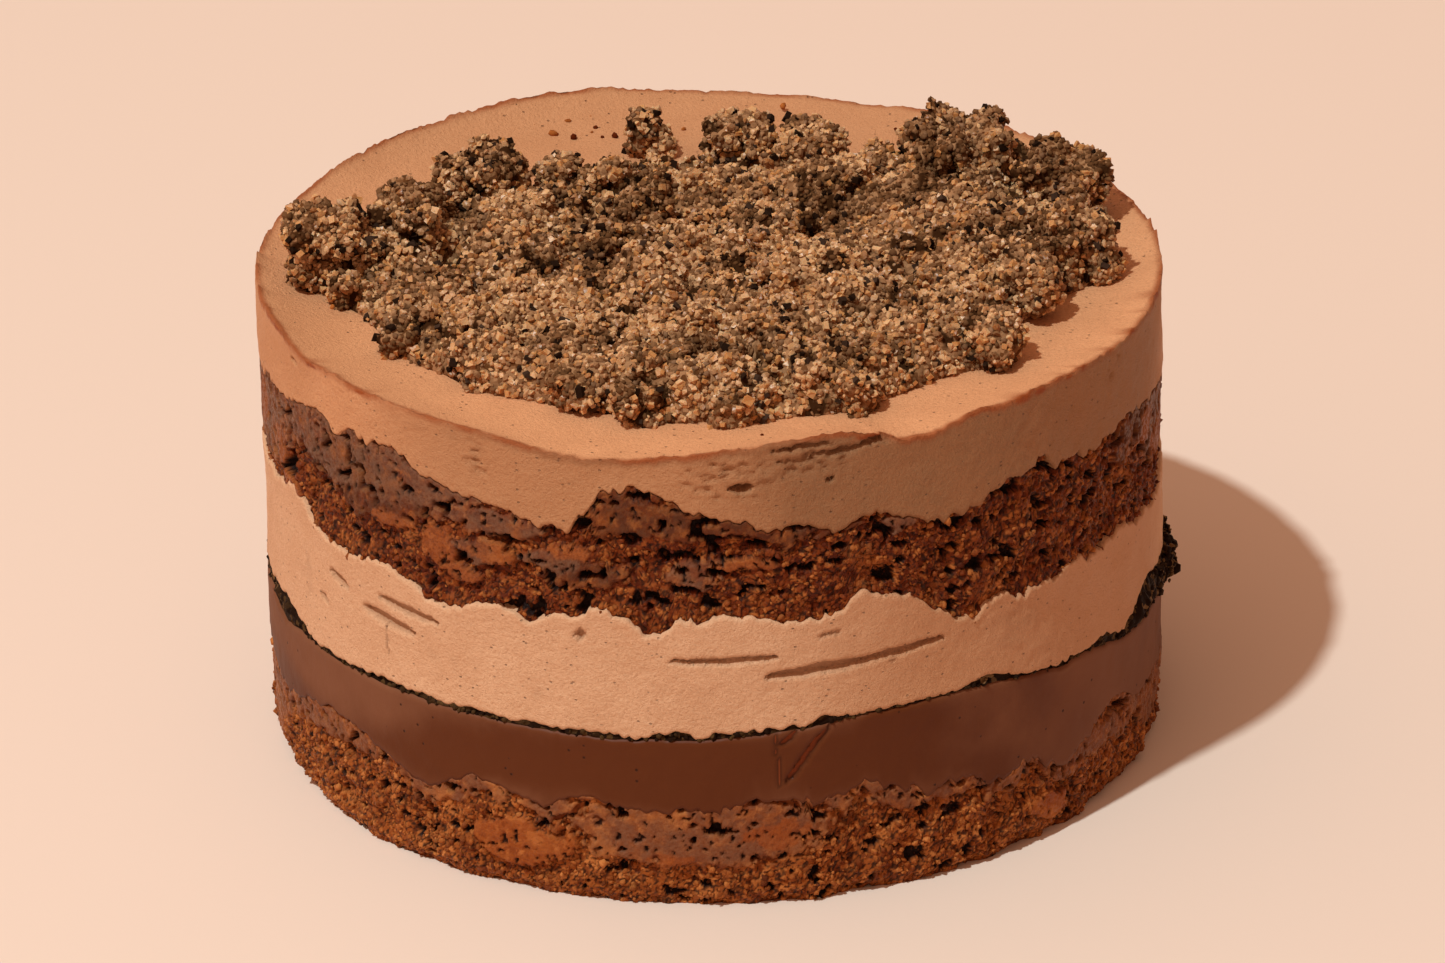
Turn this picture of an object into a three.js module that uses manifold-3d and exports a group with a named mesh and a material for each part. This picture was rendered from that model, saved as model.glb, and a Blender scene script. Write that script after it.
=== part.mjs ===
// A round cookie cake, cut clean at the side so that its layers show: sponge, ganache, a thin seam of dark
// crumbs, mousse, sponge and mousse again, with a loose heap of sandy crumbs and larger lumps on the top.
// Millimetres, +Z up, origin at the middle of the base. Angles run round the cake in degrees from the front,
// which faces -Y, towards +X.

import * as THREE from "three";
import { mergeVertices } from "three/addons/utils/BufferGeometryUtils.js";
import Module from "manifold-3d";

const wasm = await Module();
wasm.setup();

// The whole cake
const CAKE_RADIUS = 76.2;
const SIDES = 96;
const GAP = 0.3;

// The flat heart of each seam: where the ragged edge has settled, and how many sides it has
const HEART_RADIUS = 62;
const HEART_SIDES = SIDES / 3;
const HEART_SHARE = 0.4;

// The lines where layers meet at the side. Each has a mean height, how much higher the left side is than the
// middle, how ragged it is, and the swells that show in front: [angle, half width in degrees, height].
const SEAMS = {
  spongeToGanache: {
    mean: 17.8, tilt: 0.8, rag: 0.7, seed: 11,
    swells: [
      [-71, 5, -2.2], [-56, 7, 1.6], [-41, 4, -2.8], [-30, 4, 1.5], [-16, 4, 1.2], [8, 14, 1.6], [19, 4, 1.6],
      [38, 7, -1.4], [50, 5, -4.6], [63, 4, 1.6], [70, 7, -2.6], [86, 9, -4.6],
    ],
  },
  ganacheToCrumbs: {
    mean: 30.6, tilt: 0.4, rag: 0.3, seed: 12,
    swells: [
      [-78, 9, -1.2], [-70, 5, -1.2], [-58, 6, -0.9], [22, 15, 2.9], [38, 9, 1.6], [62, 4, -0.8], [70, 9, -2.5],
      [93, 16, -7.4],
    ],
  },
  crumbsToMousse: {
    mean: 32, tilt: 0.5, rag: 0.3, seed: 13,
    swells: [
      [-76, 8, 2], [-57, 6, -1.2], [21, 17, 2.4], [35, 6, 1.6], [38, 4, 0.9], [64, 4, -1.6], [73, 7, 2.4],
      [94, 13, -3.4],
    ],
  },
  mousseToSponge: {
    mean: 51.2, tilt: 3.4, rag: 0.8, seed: 14,
    swells: [
      [-66, 4, 3.2], [-55, 8, -2.6], [-36, 6, -4], [-24, 3, -2], [-13, 4, 2], [-8, 2.5, -1.6], [2, 7, 2],
      [20, 6, 5.2], [33, 5, -1.4], [40, 8, -1.2], [76, 10, -2.2],
    ],
  },
  spongeToMousse: {
    mean: 69.6, tilt: 1.8, rag: 0.9, seed: 15,
    swells: [
      [-54, 12, 4], [-43, 4, 1.4], [-21, 4, -2], [-10, 6, 5], [-2, 7, 1.9], [7, 3, -2.4], [15, 2.5, -2.6],
      [29, 5, -2.4], [34, 4, -1.8], [56, 4, -1.6], [82, 9, -3.4],
    ],
  },
};
const BACK_WANDER = 1.5;

// The top of the cake: a dished surface inside a thin ragged lip
const DISH_HEIGHT = 80.3;
const LIP_FOOT = 72.8;
const LIP_INSET = 1;
const LIP = {
  mean: 82.6, tilt: 0.5, rag: 0.45, seed: 16,
  swells: [
    [-135, 30, 1], [-72, 14, 0.8], [-63, 4, -1.4], [-18, 6, -0.7], [-13, 10, -1.7], [11, 7, 1.8], [17, 4, 0.8],
    [45, 10, 0.9], [165, 26, -0.9],
  ],
};

// How far the sides are worn in and how coarse that relief is
const SPONGE_RELIEF = { depth: 3, proud: 0.4, grain: 5.2, rows: 5, jitter: 0.3 };
const MOUSSE_RELIEF = { depth: 0.6, proud: 0.1, grain: 16, rows: 3, jitter: 0 };
const GANACHE_RELIEF = { depth: 0.4, proud: 0.1, grain: 24, rows: 2, jitter: 0 };
const SEAM_RELIEF = { depth: 0.8, proud: 0, grain: 5, rows: 1, jitter: 0 };
const BASE_TUCK = 1.2;

// Dark crumbs that stick out of their seam at the right: [angle, height, radius]. Each is longer outwards,
// and its middle lies a little outside the side.
const SPILL = [
  [81.6, 28.1, 2], [85.7, 26.8, 2.2], [90.6, 25.6, 2.2], [95, 25.6, 2.1], [99.4, 26.4, 2], [104, 27.7, 1.7],
];
const SPILL_LENGTH = 1.7;
const SPILL_OUT = 1.1;
const SPILL_BUMP_SIZE = 2;

// The outline of the crumb heap on the top, [x, y], how ragged it is, and the rings that its core is made of,
// as shares of the way out
const HEAP_OUTLINE = [
  [-68, 2], [-59, -12], [-52, -29], [-39, -43], [-21, -54], [-6, -60], [9, -59], [24, -56], [39, -44],
  [51, -34], [51, -23], [61, -8], [66, 8], [60, 26], [43, 37], [22, 40], [2, 41], [-16, 37], [-32, 24],
  [-48, 19], [-62, 12],
];
const HEAP_CENTRE = [0, -8];
const HEAP_RAG = 1.5;
const HEAP_SIDES = 84;
const HEAP_OUTER_RINGS = [1, 0.95, 0.87, 0.77];
const HEAP_INNER_RINGS = [0.62, 0.43, 0.22];
const HEAP_ROOT = 77;

// How thick the heap is at the least, what its wide and its narrow bumps add, and how steep its edge is
const HEAP_THICKNESS = 2.6;
const HEAP_WIDE_BUMP = { height: 4.4, size: 11 };
const HEAP_NARROW_BUMP = { height: 2.4, size: 4.4 };
const HEAP_EDGE_WIDTH = 0.09;

// The largest lumps, which are pieces of their own: name, [x, y], radii and the seed of their bumps
const LARGE_LUMPS = [
  { name: "lump_left", at: [-64.3, -1], radii: [7.2, 7, 7.4], seed: 21 },
  { name: "lump_back_left", at: [-38, 26], radii: [6.6, 6, 7], seed: 22 },
  { name: "lump_alone", at: [-10, 52], radii: [4.4, 4.2, 4.3], seed: 23 },
  { name: "lump_back", at: [5.5, 44], radii: [6.8, 5, 5.6], seed: 24 },
  { name: "lump_back_right", at: [42.5, 33], radii: [8.6, 7.4, 8], seed: 25 },
  { name: "lump_right_back", at: [59.5, 18.5], radii: [7.2, 6.6, 7.4], seed: 26 },
  { name: "lump_right", at: [61.5, -2], radii: [6.4, 6.8, 6.6], seed: 27 },
  { name: "lump_right_front", at: [52.5, -18.5], radii: [5.4, 5.6, 5.8], seed: 28 },
];

// How finely lumps are cut into triangles, how high and wide their bumps are, how far they sink into the
// mousse, as a share of their height, and how far the heap stays clear of them
const LUMP_DETAIL = 2;
const LUMP_BUMP = 0.32;
const LUMP_BUMP_SIZE = 3.4;
const LUMP_SINK = 0.18;
const LUMP_CLEARANCE = 0.5;

// Smaller lumps that are part of the heap: [x, y, radius]
const SMALL_LUMPS = [
  [-51, 10, 6.6], [-25, 33, 4.6], [18.5, 41, 5.8], [29.5, 34, 4.6], [52.5, 35, 4.2], [-50, -29, 3.9],
  [-37, -41, 4.8], [-22, -52, 4.4], [-12, -58, 4.2], [46, -38, 4.6], [23, -55, 3.8], [3, -60, 3.6],
  [-61, -10, 3.8], [-45, -17, 5], [-8, 35, 4.2], [50, 6, 5], [38, 16, 5],
];
const SMALL_LUMP_SINK = 0.3;

// Single crumbs that stand out of the heap, and the few that lie loose on the mousse: [x, y, radius]
const CRUMB_COUNT = 46;
const CRUMB_RADIUS = [3, 1.2];
const CRUMB_SPREAD = [0.7548776662, 0.569840291];
const CRUMB_SINK = 0.3;
const LOOSE_CRUMBS = [
  [-38, 62, 1.1], [-25, 66, 1], [-20, 61, 1.3], [-27, 55, 1], [-15, 57, 0.9], [13, 67, 1.2],
];
const CRUMB_BUMP = 0.3;

// Colours and finishes
const SPONGE = new THREE.MeshStandardMaterial({ color: 0x5a2e1c, roughness: 0.9, metalness: 0 });
const GANACHE = new THREE.MeshStandardMaterial({ color: 0x52291d, roughness: 0.5, metalness: 0 });
const DARK_CRUMBS = new THREE.MeshStandardMaterial({ color: 0x2a1c12, roughness: 0.9, metalness: 0 });
const MOUSSE = new THREE.MeshStandardMaterial({ color: 0xc08560, roughness: 0.7, metalness: 0 });
const SANDY_CRUMBS = new THREE.MeshStandardMaterial({ color: 0x8a6a4c, roughness: 0.8, metalness: 0 });

// A repeatable number from 0 to 1 for three whole numbers
function hash(x, y, z) {
  let h = Math.imul(x, 374761393) + Math.imul(y, 668265263) + Math.imul(z, 1274126177);
  h = Math.imul(h ^ (h >>> 13), 1103515245);
  return ((h ^ (h >>> 16)) >>> 0) / 4294967296;
}

// Smooth noise from -1 to 1: the corners of a unit grid blended by a smooth step
function noise(x, y, z) {
  const corner = [x, y, z].map(Math.floor);
  const ease = [x, y, z].map((value, axis) => THREE.MathUtils.smoothstep(value - corner[axis], 0, 1));
  let sum = 0;
  for (let bits = 0; bits < 8; bits++) {
    const step = [bits & 1, (bits >> 1) & 1, (bits >> 2) & 1];
    const share = step.reduce((product, on, axis) => product * (on ? ease[axis] : 1 - ease[axis]), 1);
    sum += share * hash(corner[0] + step[0], corner[1] + step[1], corner[2] + step[2]);
  }
  return 2 * sum - 1;
}

// The angle between two directions round the cake, from -180 to 180
function turnBetween(angle, other) {
  return THREE.MathUtils.euclideanModulo(angle - other + 180, 360) - 180;
}

// A point at an angle, radius and height
function pointAt(angle, radius, z) {
  const turn = THREE.MathUtils.degToRad(angle);
  return [radius * Math.sin(turn), -radius * Math.cos(turn), z];
}

// The height of a seam at an angle: its mean, tilt and swells, a slow wander behind and a fine raggedness
function seamHeight(seam, angle) {
  const turn = THREE.MathUtils.degToRad(angle);
  const around = [Math.sin(turn), Math.cos(turn)];
  const swell = seam.swells.reduce(
    (sum, [at, width, height]) => sum + height * Math.exp(-((turnBetween(angle, at) / width) ** 2)), 0);
  const behind = Math.max(0, -around[1]);
  const wander = BACK_WANDER * behind * noise(3 * around[0], 3 * around[1], seam.seed);
  const rag = seam.rag * noise(13 * around[0], 13 * around[1], seam.seed + 0.5);
  return seam.mean - seam.tilt * around[0] + swell + wander + rag;
}

// The radius of a side: flush along both its seams, and worn in between them
function sideRadius(relief, angle, z, share) {
  const [x, y] = pointAt(angle, CAKE_RADIUS / relief.grain, 0);
  const level = 0.45 + 0.9 * noise(x, y, z / relief.grain);
  const wear = relief.depth * THREE.MathUtils.clamp(level, 0, 1) - relief.proud;
  return CAKE_RADIUS - wear * Math.sqrt(Math.sin(Math.PI * share));
}

// The largest of the bodies in a solid, without loose scraps
function largestBody(solid) {
  return solid.decompose().reduce((best, body) => (body.volume() > best.volume() ? body : best));
}

// A closed skin put together from rings of points. A ring runs anticlockwise seen from above.
class Skin {
  points = [];
  faces = [];

  ring(count, point) {
    const start = this.points.length;
    for (let i = 0; i < count; i++) this.points.push(point((360 * i) / count, i));
    return Array.from({ length: count }, (_, i) => start + i);
  }

  face(a, b, c, up) {
    this.faces.push(up ? [a, b, c] : [a, c, b]);
  }

  // A band between two rings with as many points. It faces out, or up where the second ring is the inner one.
  band(first, second) {
    first.forEach((a, i) => {
      const j = (i + 1) % first.length;
      this.face(a, first[j], second[j], true);
      this.face(a, second[j], second[i], true);
    });
  }

  // A flat band from an outer ring to an inner ring with a third of its points
  gather(outer, inner, up) {
    const count = outer.length;
    inner.forEach((b, j) => {
      const next = inner[(j + 1) % inner.length];
      const at = (step) => outer[(3 * j + step + count) % count];
      for (let step = -1; step < 2; step++) this.face(at(step), at(step + 1), b, up);
      this.face(at(2), next, b, up);
    });
  }

  // A fan from a ring to one point in its middle
  cap(ring, point, up) {
    const tip = this.points.push(point) - 1;
    ring.forEach((a, i) => this.face(a, ring[(i + 1) % ring.length], tip, up));
  }

  solid() {
    return new wasm.Manifold(new wasm.Mesh({
      numProp: 3,
      vertProperties: new Float32Array(this.points.flat()),
      triVerts: new Uint32Array(this.faces.flat()),
    }));
  }
}

// One face of a seam inside the cake, from the ragged edge to the settled heart. Both layers that meet there
// use the same points, half a gap up or down.
function seamFace(skin, edge, seam, shift, up) {
  const heart = skin.ring(HEART_SIDES, (angle) => {
    const height = THREE.MathUtils.lerp(seam.mean, seamHeight(seam, angle), HEART_SHARE);
    return pointAt(angle, HEART_RADIUS, height + shift);
  });
  skin.gather(edge, heart, up);
  skin.cap(heart, [0, 0, seam.mean + shift], up);
}

// The side between a lower and an upper edge, in rows that follow both. The points of a crumbly layer's rows
// stray a little from their places, so that its crags don't line up.
function sideWall(skin, relief, lowEdge, low, high) {
  let below = lowEdge;
  for (let row = 1; row <= relief.rows; row++) {
    const next = skin.ring(SIDES, (angle, i) => {
      const stray = row < relief.rows ? relief.jitter : 0;
      const share = (row + stray * (2 * hash(i, row, 1) - 1)) / relief.rows;
      const turned = angle + (stray * (2 * hash(i, row, 2) - 1) * 360) / SIDES;
      const z = THREE.MathUtils.lerp(low(turned), high(turned), share);
      return pointAt(turned, sideRadius(relief, turned, z, share), z);
    });
    skin.band(below, next);
    below = next;
  }
  return below;
}

// A layer between two seams
function innerLayer(relief, lowSeam, highSeam) {
  const skin = new Skin();
  const low = (angle) => seamHeight(lowSeam, angle) + GAP / 2;
  const high = (angle) => seamHeight(highSeam, angle) - GAP / 2;
  const foot = skin.ring(SIDES, (angle) => pointAt(angle, CAKE_RADIUS, low(angle)));
  seamFace(skin, foot, lowSeam, GAP / 2, false);
  seamFace(skin, sideWall(skin, relief, foot, low, high), highSeam, -GAP / 2, true);
  return skin.solid();
}

// The lowest sponge: flat underneath, its lower edge tucked in where crumbs have come away
function bottomLayer(relief, seam) {
  const skin = new Skin();
  const high = (angle) => seamHeight(seam, angle) - GAP / 2;
  const foot = skin.ring(SIDES, (angle) => {
    const [x, y] = pointAt(angle, CAKE_RADIUS / relief.grain, 0);
    return pointAt(angle, CAKE_RADIUS - BASE_TUCK * (1 + 0.6 * noise(x, y, 0)), 0);
  });
  skin.cap(foot, [0, 0, 0], false);
  seamFace(skin, sideWall(skin, relief, foot, () => 0, high), seam, -GAP / 2, true);
  return skin.solid();
}

// The top mousse, from its seam up the side, over the lip and down into the dish
function topMousse(relief, seam) {
  const skin = new Skin();
  const low = (angle) => seamHeight(seam, angle) + GAP / 2;
  const crest = (angle) => seamHeight(LIP, angle);
  const foot = skin.ring(SIDES, (angle) => pointAt(angle, CAKE_RADIUS, low(angle)));
  seamFace(skin, foot, seam, GAP / 2, false);
  const shoulder = sideWall(skin, relief, foot, low, (angle) => crest(angle) - LIP_INSET / 2);
  const ridge = skin.ring(SIDES, (angle) => pointAt(angle, CAKE_RADIUS - LIP_INSET, crest(angle)));
  const lipFoot = skin.ring(SIDES, (angle) => pointAt(angle, LIP_FOOT, DISH_HEIGHT));
  skin.band(shoulder, ridge);
  skin.band(ridge, lipFoot);
  skin.cap(lipFoot, [0, 0, DISH_HEIGHT], true);
  return skin.solid();
}

// A lump of stuck grains: a ball with a bumpy skin, stretched to its three radii, and wider by any spare room
function lumpSolid([x, y, z], radii, seed, detail, bump, bumpSize, spare = 0) {
  const ball = new THREE.IcosahedronGeometry(1, detail);
  ball.deleteAttribute("normal");
  ball.deleteAttribute("uv");
  const shape = mergeVertices(ball, 1e-4);
  const place = shape.getAttribute("position");
  for (let i = 0; i < place.count; i++) {
    const way = new THREE.Vector3().fromBufferAttribute(place, i);
    const point = way.clone().multiply(new THREE.Vector3(...radii));
    const [u, v, w] = point.clone().divideScalar(bumpSize).toArray();
    point.multiplyScalar(1 + bump * noise(u + seed, v - seed, w + 2 * seed)).addScaledVector(way, spare);
    place.setXYZ(i, x + point.x, y + point.y, z + point.z);
  }
  return new wasm.Manifold(new wasm.Mesh({
    numProp: 3,
    vertProperties: new Float32Array(place.array),
    triVerts: new Uint32Array(shape.index.array),
  }));
}

// The thin seam of dark crumbs, thicker at the right, where some stick out of the side
function darkCrumbs() {
  const spill = SPILL.map(([angle, z, radius], i) => {
    const middle = pointAt(angle, CAKE_RADIUS + SPILL_OUT, z);
    const radii = [SPILL_LENGTH * radius, radius, radius];
    return lumpSolid(middle, radii, 40 + i, 1, CRUMB_BUMP, SPILL_BUMP_SIZE);
  });
  const seam = innerLayer(SEAM_RELIEF, SEAMS.ganacheToCrumbs, SEAMS.crumbsToMousse);
  return wasm.Manifold.union([seam, ...spill]);
}

// The heap's radius from its centre at an angle, from a smooth closed curve through its outline
const heapCurve = new THREE.CatmullRomCurve3(
  HEAP_OUTLINE.map(([x, y]) => new THREE.Vector3(x - HEAP_CENTRE[0], y - HEAP_CENTRE[1], 0)), true);
const heapRim = heapCurve.getPoints(600).map((point) => ({
  angle: THREE.MathUtils.radToDeg(Math.atan2(point.x, -point.y)),
  radius: point.length(),
}));

function heapRadius(angle) {
  const near = heapRim.reduce((best, point) =>
    Math.abs(turnBetween(point.angle, angle)) < Math.abs(turnBetween(best.angle, angle)) ? point : best);
  const [x, y] = pointAt(angle, 7, 0);
  return near.radius + HEAP_RAG * noise(x, y, 9);
}

// A point of the heap at a share of the way from its centre to its edge
function heapPoint(angle, share) {
  const [x, y] = pointAt(angle, heapRadius(angle) * share, 0);
  return [x + HEAP_CENTRE[0], y + HEAP_CENTRE[1]];
}

// The height of the heap there: wide and narrow bumps on an even bed, falling off steeply at the edge
function heapHeight(x, y, share) {
  const lift = ({ height, size }) => height * (0.5 + 0.5 * noise(x / size, y / size, size));
  const edge = THREE.MathUtils.smoothstep(1 - share, -HEAP_EDGE_WIDTH / 2, HEAP_EDGE_WIDTH);
  return DISH_HEIGHT + edge * (HEAP_THICKNESS + lift(HEAP_WIDE_BUMP) + lift(HEAP_NARROW_BUMP));
}

// The core of the heap, with a root below the dish that is cut off later
function heapCore() {
  const skin = new Skin();
  const ringAt = (sides, share) => skin.ring(sides, (angle) => {
    const [x, y] = heapPoint(angle, share);
    return [x, y, heapHeight(x, y, share)];
  });
  let last = skin.ring(HEAP_SIDES, (angle) => [...heapPoint(angle, 1), HEAP_ROOT]);
  skin.cap(last, [...HEAP_CENTRE, HEAP_ROOT], false);
  for (const share of HEAP_OUTER_RINGS) {
    const next = ringAt(HEAP_SIDES, share);
    skin.band(last, next);
    last = next;
  }
  HEAP_INNER_RINGS.forEach((share, i) => {
    const next = ringAt(HEAP_SIDES / 3, share);
    if (i === 0) skin.gather(last, next, true);
    else skin.band(last, next);
    last = next;
  });
  skin.cap(last, [...HEAP_CENTRE, heapHeight(...HEAP_CENTRE, 0)], true);
  return skin.solid();
}

// Single crumbs on the heap, the largest first. Each two steps of a fixed ratio pick a share of the heap's
// area and a turn round it, so that any number of the first crumbs is spread evenly.
function heapCrumbs() {
  return Array.from({ length: CRUMB_COUNT }, (_, i) => {
    const [area, turn] = CRUMB_SPREAD.map((ratio) => (ratio * (i + 1)) % 1);
    const share = 0.98 * Math.sqrt(area);
    const [x, y] = heapPoint(360 * turn, share);
    const radius = THREE.MathUtils.lerp(...CRUMB_RADIUS, Math.sqrt(i / CRUMB_COUNT));
    const z = heapHeight(x, y, share) + CRUMB_SINK * radius;
    return lumpSolid([x, y, z], [radius, 0.8 * radius, 0.8 * radius], 60 + i, 0, CRUMB_BUMP, 1);
  });
}

// Cuts off what would reach into the mousse, so that a piece rests flat, a small gap above the dish
function restOnDish(solid) {
  return solid.trimByPlane([0, 0, 1], DISH_HEIGHT + GAP);
}

// A lump on the dish, sunk a little so that it has a flat spot to sit on
function restingLump([x, y], radii, seed, sink, detail, spare = 0) {
  const z = DISH_HEIGHT + radii[2] * (1 - sink);
  return lumpSolid([x, y, z], radii, seed, detail, LUMP_BUMP, LUMP_BUMP_SIZE, spare);
}

const looseCrumbs = LOOSE_CRUMBS.map(([x, y, radius], i) =>
  lumpSolid([x, y, DISH_HEIGHT + 0.4 * radius], [radius, radius, radius], 120 + i, 0, CRUMB_BUMP, 1));
const mousseTop = wasm.Manifold.union([topMousse(MOUSSE_RELIEF, SEAMS.spongeToMousse), ...looseCrumbs]);

const smallLumps = SMALL_LUMPS.map(([x, y, radius], i) =>
  restingLump([x, y], [radius, radius, radius], 80 + i, SMALL_LUMP_SINK, 1));
const lumpRooms = LARGE_LUMPS.map(({ at, radii, seed }) =>
  restingLump(at, radii, seed, LUMP_SINK, LUMP_DETAIL, LUMP_CLEARANCE));
const wholeHeap = wasm.Manifold.union([heapCore(), ...smallLumps, ...heapCrumbs()]);
const heap = largestBody(restOnDish(wholeHeap.subtract(wasm.Manifold.union(lumpRooms))));

// A named mesh made from a solid
function piece(name, solid, material) {
  const made = solid.getMesh();
  const geometry = new THREE.BufferGeometry();
  geometry.setAttribute("position", new THREE.BufferAttribute(made.vertProperties, 3));
  geometry.setIndex(new THREE.BufferAttribute(made.triVerts, 1));
  geometry.computeVertexNormals();
  const mesh = new THREE.Mesh(geometry, material.clone());
  mesh.name = name;
  return mesh;
}

const cake = new THREE.Group();
cake.add(
  piece("sponge_bottom", bottomLayer(SPONGE_RELIEF, SEAMS.spongeToGanache), SPONGE),
  piece("ganache", innerLayer(GANACHE_RELIEF, SEAMS.spongeToGanache, SEAMS.ganacheToCrumbs), GANACHE),
  piece("dark_crumbs", darkCrumbs(), DARK_CRUMBS),
  piece("mousse_middle", innerLayer(MOUSSE_RELIEF, SEAMS.crumbsToMousse, SEAMS.mousseToSponge), MOUSSE),
  piece("sponge_top", innerLayer(SPONGE_RELIEF, SEAMS.mousseToSponge, SEAMS.spongeToMousse), SPONGE),
  piece("mousse_top", mousseTop, MOUSSE),
  piece("crumb_heap", heap, SANDY_CRUMBS),
);
for (const { name, at, radii, seed } of LARGE_LUMPS)
  cake.add(piece(name, restOnDish(restingLump(at, radii, seed, LUMP_SINK, LUMP_DETAIL)), SANDY_CRUMBS));

export default cake;
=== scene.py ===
"""A round cookie cake, cut clean at the side: sponge, ganache, a thin seam of dark crumbs, mousse, sponge and
mousse again, under a loose heap of sandy crumbs and lumps.

Shapes are worked out in millimetres, with +Z up and the origin at the middle of the base, and a mesh gets its
points in metres. Angles run round the cake in degrees from the front, which faces -Y, towards +X.
"""

import functools
import math

import bpy
import numpy as np
from mathutils import Matrix, Vector


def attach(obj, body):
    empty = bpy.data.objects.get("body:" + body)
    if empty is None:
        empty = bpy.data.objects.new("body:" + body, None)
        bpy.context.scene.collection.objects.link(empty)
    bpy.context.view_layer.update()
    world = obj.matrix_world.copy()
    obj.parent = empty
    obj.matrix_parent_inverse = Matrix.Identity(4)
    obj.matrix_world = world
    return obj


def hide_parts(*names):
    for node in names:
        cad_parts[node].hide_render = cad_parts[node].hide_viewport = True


bl_info = {
    "name": "Cookie cake",
    "version": (1, 0, 0),
    "blender": (4, 5, 0),
    "location": "3D View > Sidebar > Cake",
    "description": "Builds a round layer cake with sponge, ganache and mousse under a heap of sandy crumbs",
    "category": "Add Mesh",
}

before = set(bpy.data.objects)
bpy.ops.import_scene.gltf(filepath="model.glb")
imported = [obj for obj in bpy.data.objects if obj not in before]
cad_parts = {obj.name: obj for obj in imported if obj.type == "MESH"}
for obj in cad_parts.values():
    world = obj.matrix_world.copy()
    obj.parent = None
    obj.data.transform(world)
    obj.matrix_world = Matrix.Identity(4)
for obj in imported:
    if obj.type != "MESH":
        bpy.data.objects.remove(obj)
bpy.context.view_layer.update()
MM = 0.001
BODY = "root"

# The whole cake: its radius, and the ring inside it where seams settle and keep a share of their swells
CAKE_RADIUS = 76.2
HEART_RADIUS = 62
HEART_SHARE = 0.4

# How far apart the patterns of one seed and the next are, and the seeds of the random draws
NOISE_STEP = 17.3
CELL_STEP = 11.7
DRAWS = {"sponge": 3, "dark_crumbs": 5, "grains": 7, "loose_bits": 9}

# The lines where layers meet at the side. Each has a mean height, how much higher the left side is than the
# middle, how ragged it is, how far its small teeth reach, how much of the finest ones it has, and the
# swells that show in front, each an angle, a half width in degrees and a height. A seam can also stay a gap
# above another. Behind, all wander a little.
BACK_WANDER = {"height": 1.5, "waves": 3}
RAG_WAVES = 13
TEETH = {"stretch": 15, "soft": 3.4, "cusp": 1.7, "fine": 0.85, "finest": 0.52}
SEAMS = {
    "base": {"mean": 0, "tilt": 0, "rag": 0, "teeth": 0, "fine": 0, "seed": 10, "swells": []},
    "sponge_to_ganache": {
        "mean": 17.8, "tilt": 0.8, "rag": 0.7, "teeth": 1.2, "fine": 1, "seed": 11,
        "swells": [
            (-71, 5, -2.2), (-56, 7, 1.6), (-41, 4, -2.8), (-30, 4, 1.5), (-22.5, 1.8, -2), (-16, 4, 1.2),
            (-6, 3, -0.8), (8, 14, 1.6), (19, 4, 1.6), (38, 7, -1.4), (50, 5, -4.6), (63, 4, 1.6),
            (70, 7, -2.6), (86, 9, -4.6),
        ],
    },
    "ganache_to_crumbs": {
        "mean": 30.6, "tilt": 0.4, "rag": 0.3, "teeth": 0.35, "fine": 0.2, "seed": 12,
        "swells": [
            (-78, 9, -1.2), (-79, 2, 1.4), (-70, 5, -1.2), (-58, 6, -0.9), (22, 15, 2.9), (38, 9, 1.6),
            (62, 4, -0.8), (70, 9, -2.5), (93, 16, -7.4),
        ],
    },
    "crumbs_to_mousse": {
        "mean": 31.4, "tilt": 0.5, "rag": 0.3, "teeth": 1, "fine": 0.2, "seed": 13,
        "above": "ganache_to_crumbs", "gap": 0.2,
        "swells": [
            (-76, 8, 2), (-69, 3, 1), (-57, 6, -1.2), (21, 17, 2.4), (35, 6, 1.6), (38, 4, 0.9),
            (64, 4, -1.6), (73, 7, 2.8), (84, 5, 1.4), (94, 13, -3),
        ],
    },
    "mousse_to_sponge": {
        "mean": 51.2, "tilt": 3.4, "rag": 0.8, "teeth": 1.1, "fine": 1.1, "seed": 14,
        "swells": [
            (-66, 4, 3.2), (-55, 8, -2.6), (-36, 6, -4), (-24, 3, -2), (-13, 4, 2), (-8, 2.5, -2.4),
            (2, 7, 2), (18, 1.6, 1.2), (20, 6, 5.2), (24.5, 1.6, 1.2), (33, 5, -1.4), (40, 8, -1.2),
            (76, 10, -2.2),
        ],
    },
    "sponge_to_mousse": {
        "mean": 69.6, "tilt": 1.8, "rag": 0.9, "teeth": 1.2, "fine": 1.1, "seed": 15,
        "swells": [
            (-54, 12, 4), (-54.5, 2, -3), (-43, 4, 1.4), (-21, 4, -2), (-17.8, 1.5, -1.6), (-14.5, 1.6, 0.8),
            (-10, 6, 5), (-2, 7, 1.9), (7, 3, -2.4), (15, 2.5, -2.6), (29, 5, -2.4), (34, 4, -1.8),
            (45, 2, 1.4), (56, 4, -1.6), (82, 9, -3.4),
        ],
    },
    "lip": {
        "mean": 82.6, "tilt": 0.5, "rag": 0.4, "teeth": 0.36, "fine": 1, "seed": 16,
        "swells": [
            (-135, 30, 1), (-92, 1.2, 1.3), (-89, 0.8, 0.9), (-72, 14, 0.8), (-63, 4, -1.4), (-18, 6, -0.7),
            (-13, 10, -1.7), (11, 7, 1.8), (17, 4, 0.8), (27, 4, -1.7), (34.5, 2.6, 0.8), (45, 12, 0.9),
            (52, 0.5, 0.6), (66, 0.8, 0.5), (76, 0.6, 0.8), (83, 0.5, 1), (96, 0.9, 1.2), (100, 0.7, 1),
            (-82, 0.6, 0.9), (-76, 0.5, 0.5), (165, 26, -0.9),
        ],
    },
}

# How fine the meshes of the sides are
SPONGE_STEP = 0.32
MOUSSE_STEP = 0.42
GANACHE_STEP = 0.55
SEAM_STEP = 0.45

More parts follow.
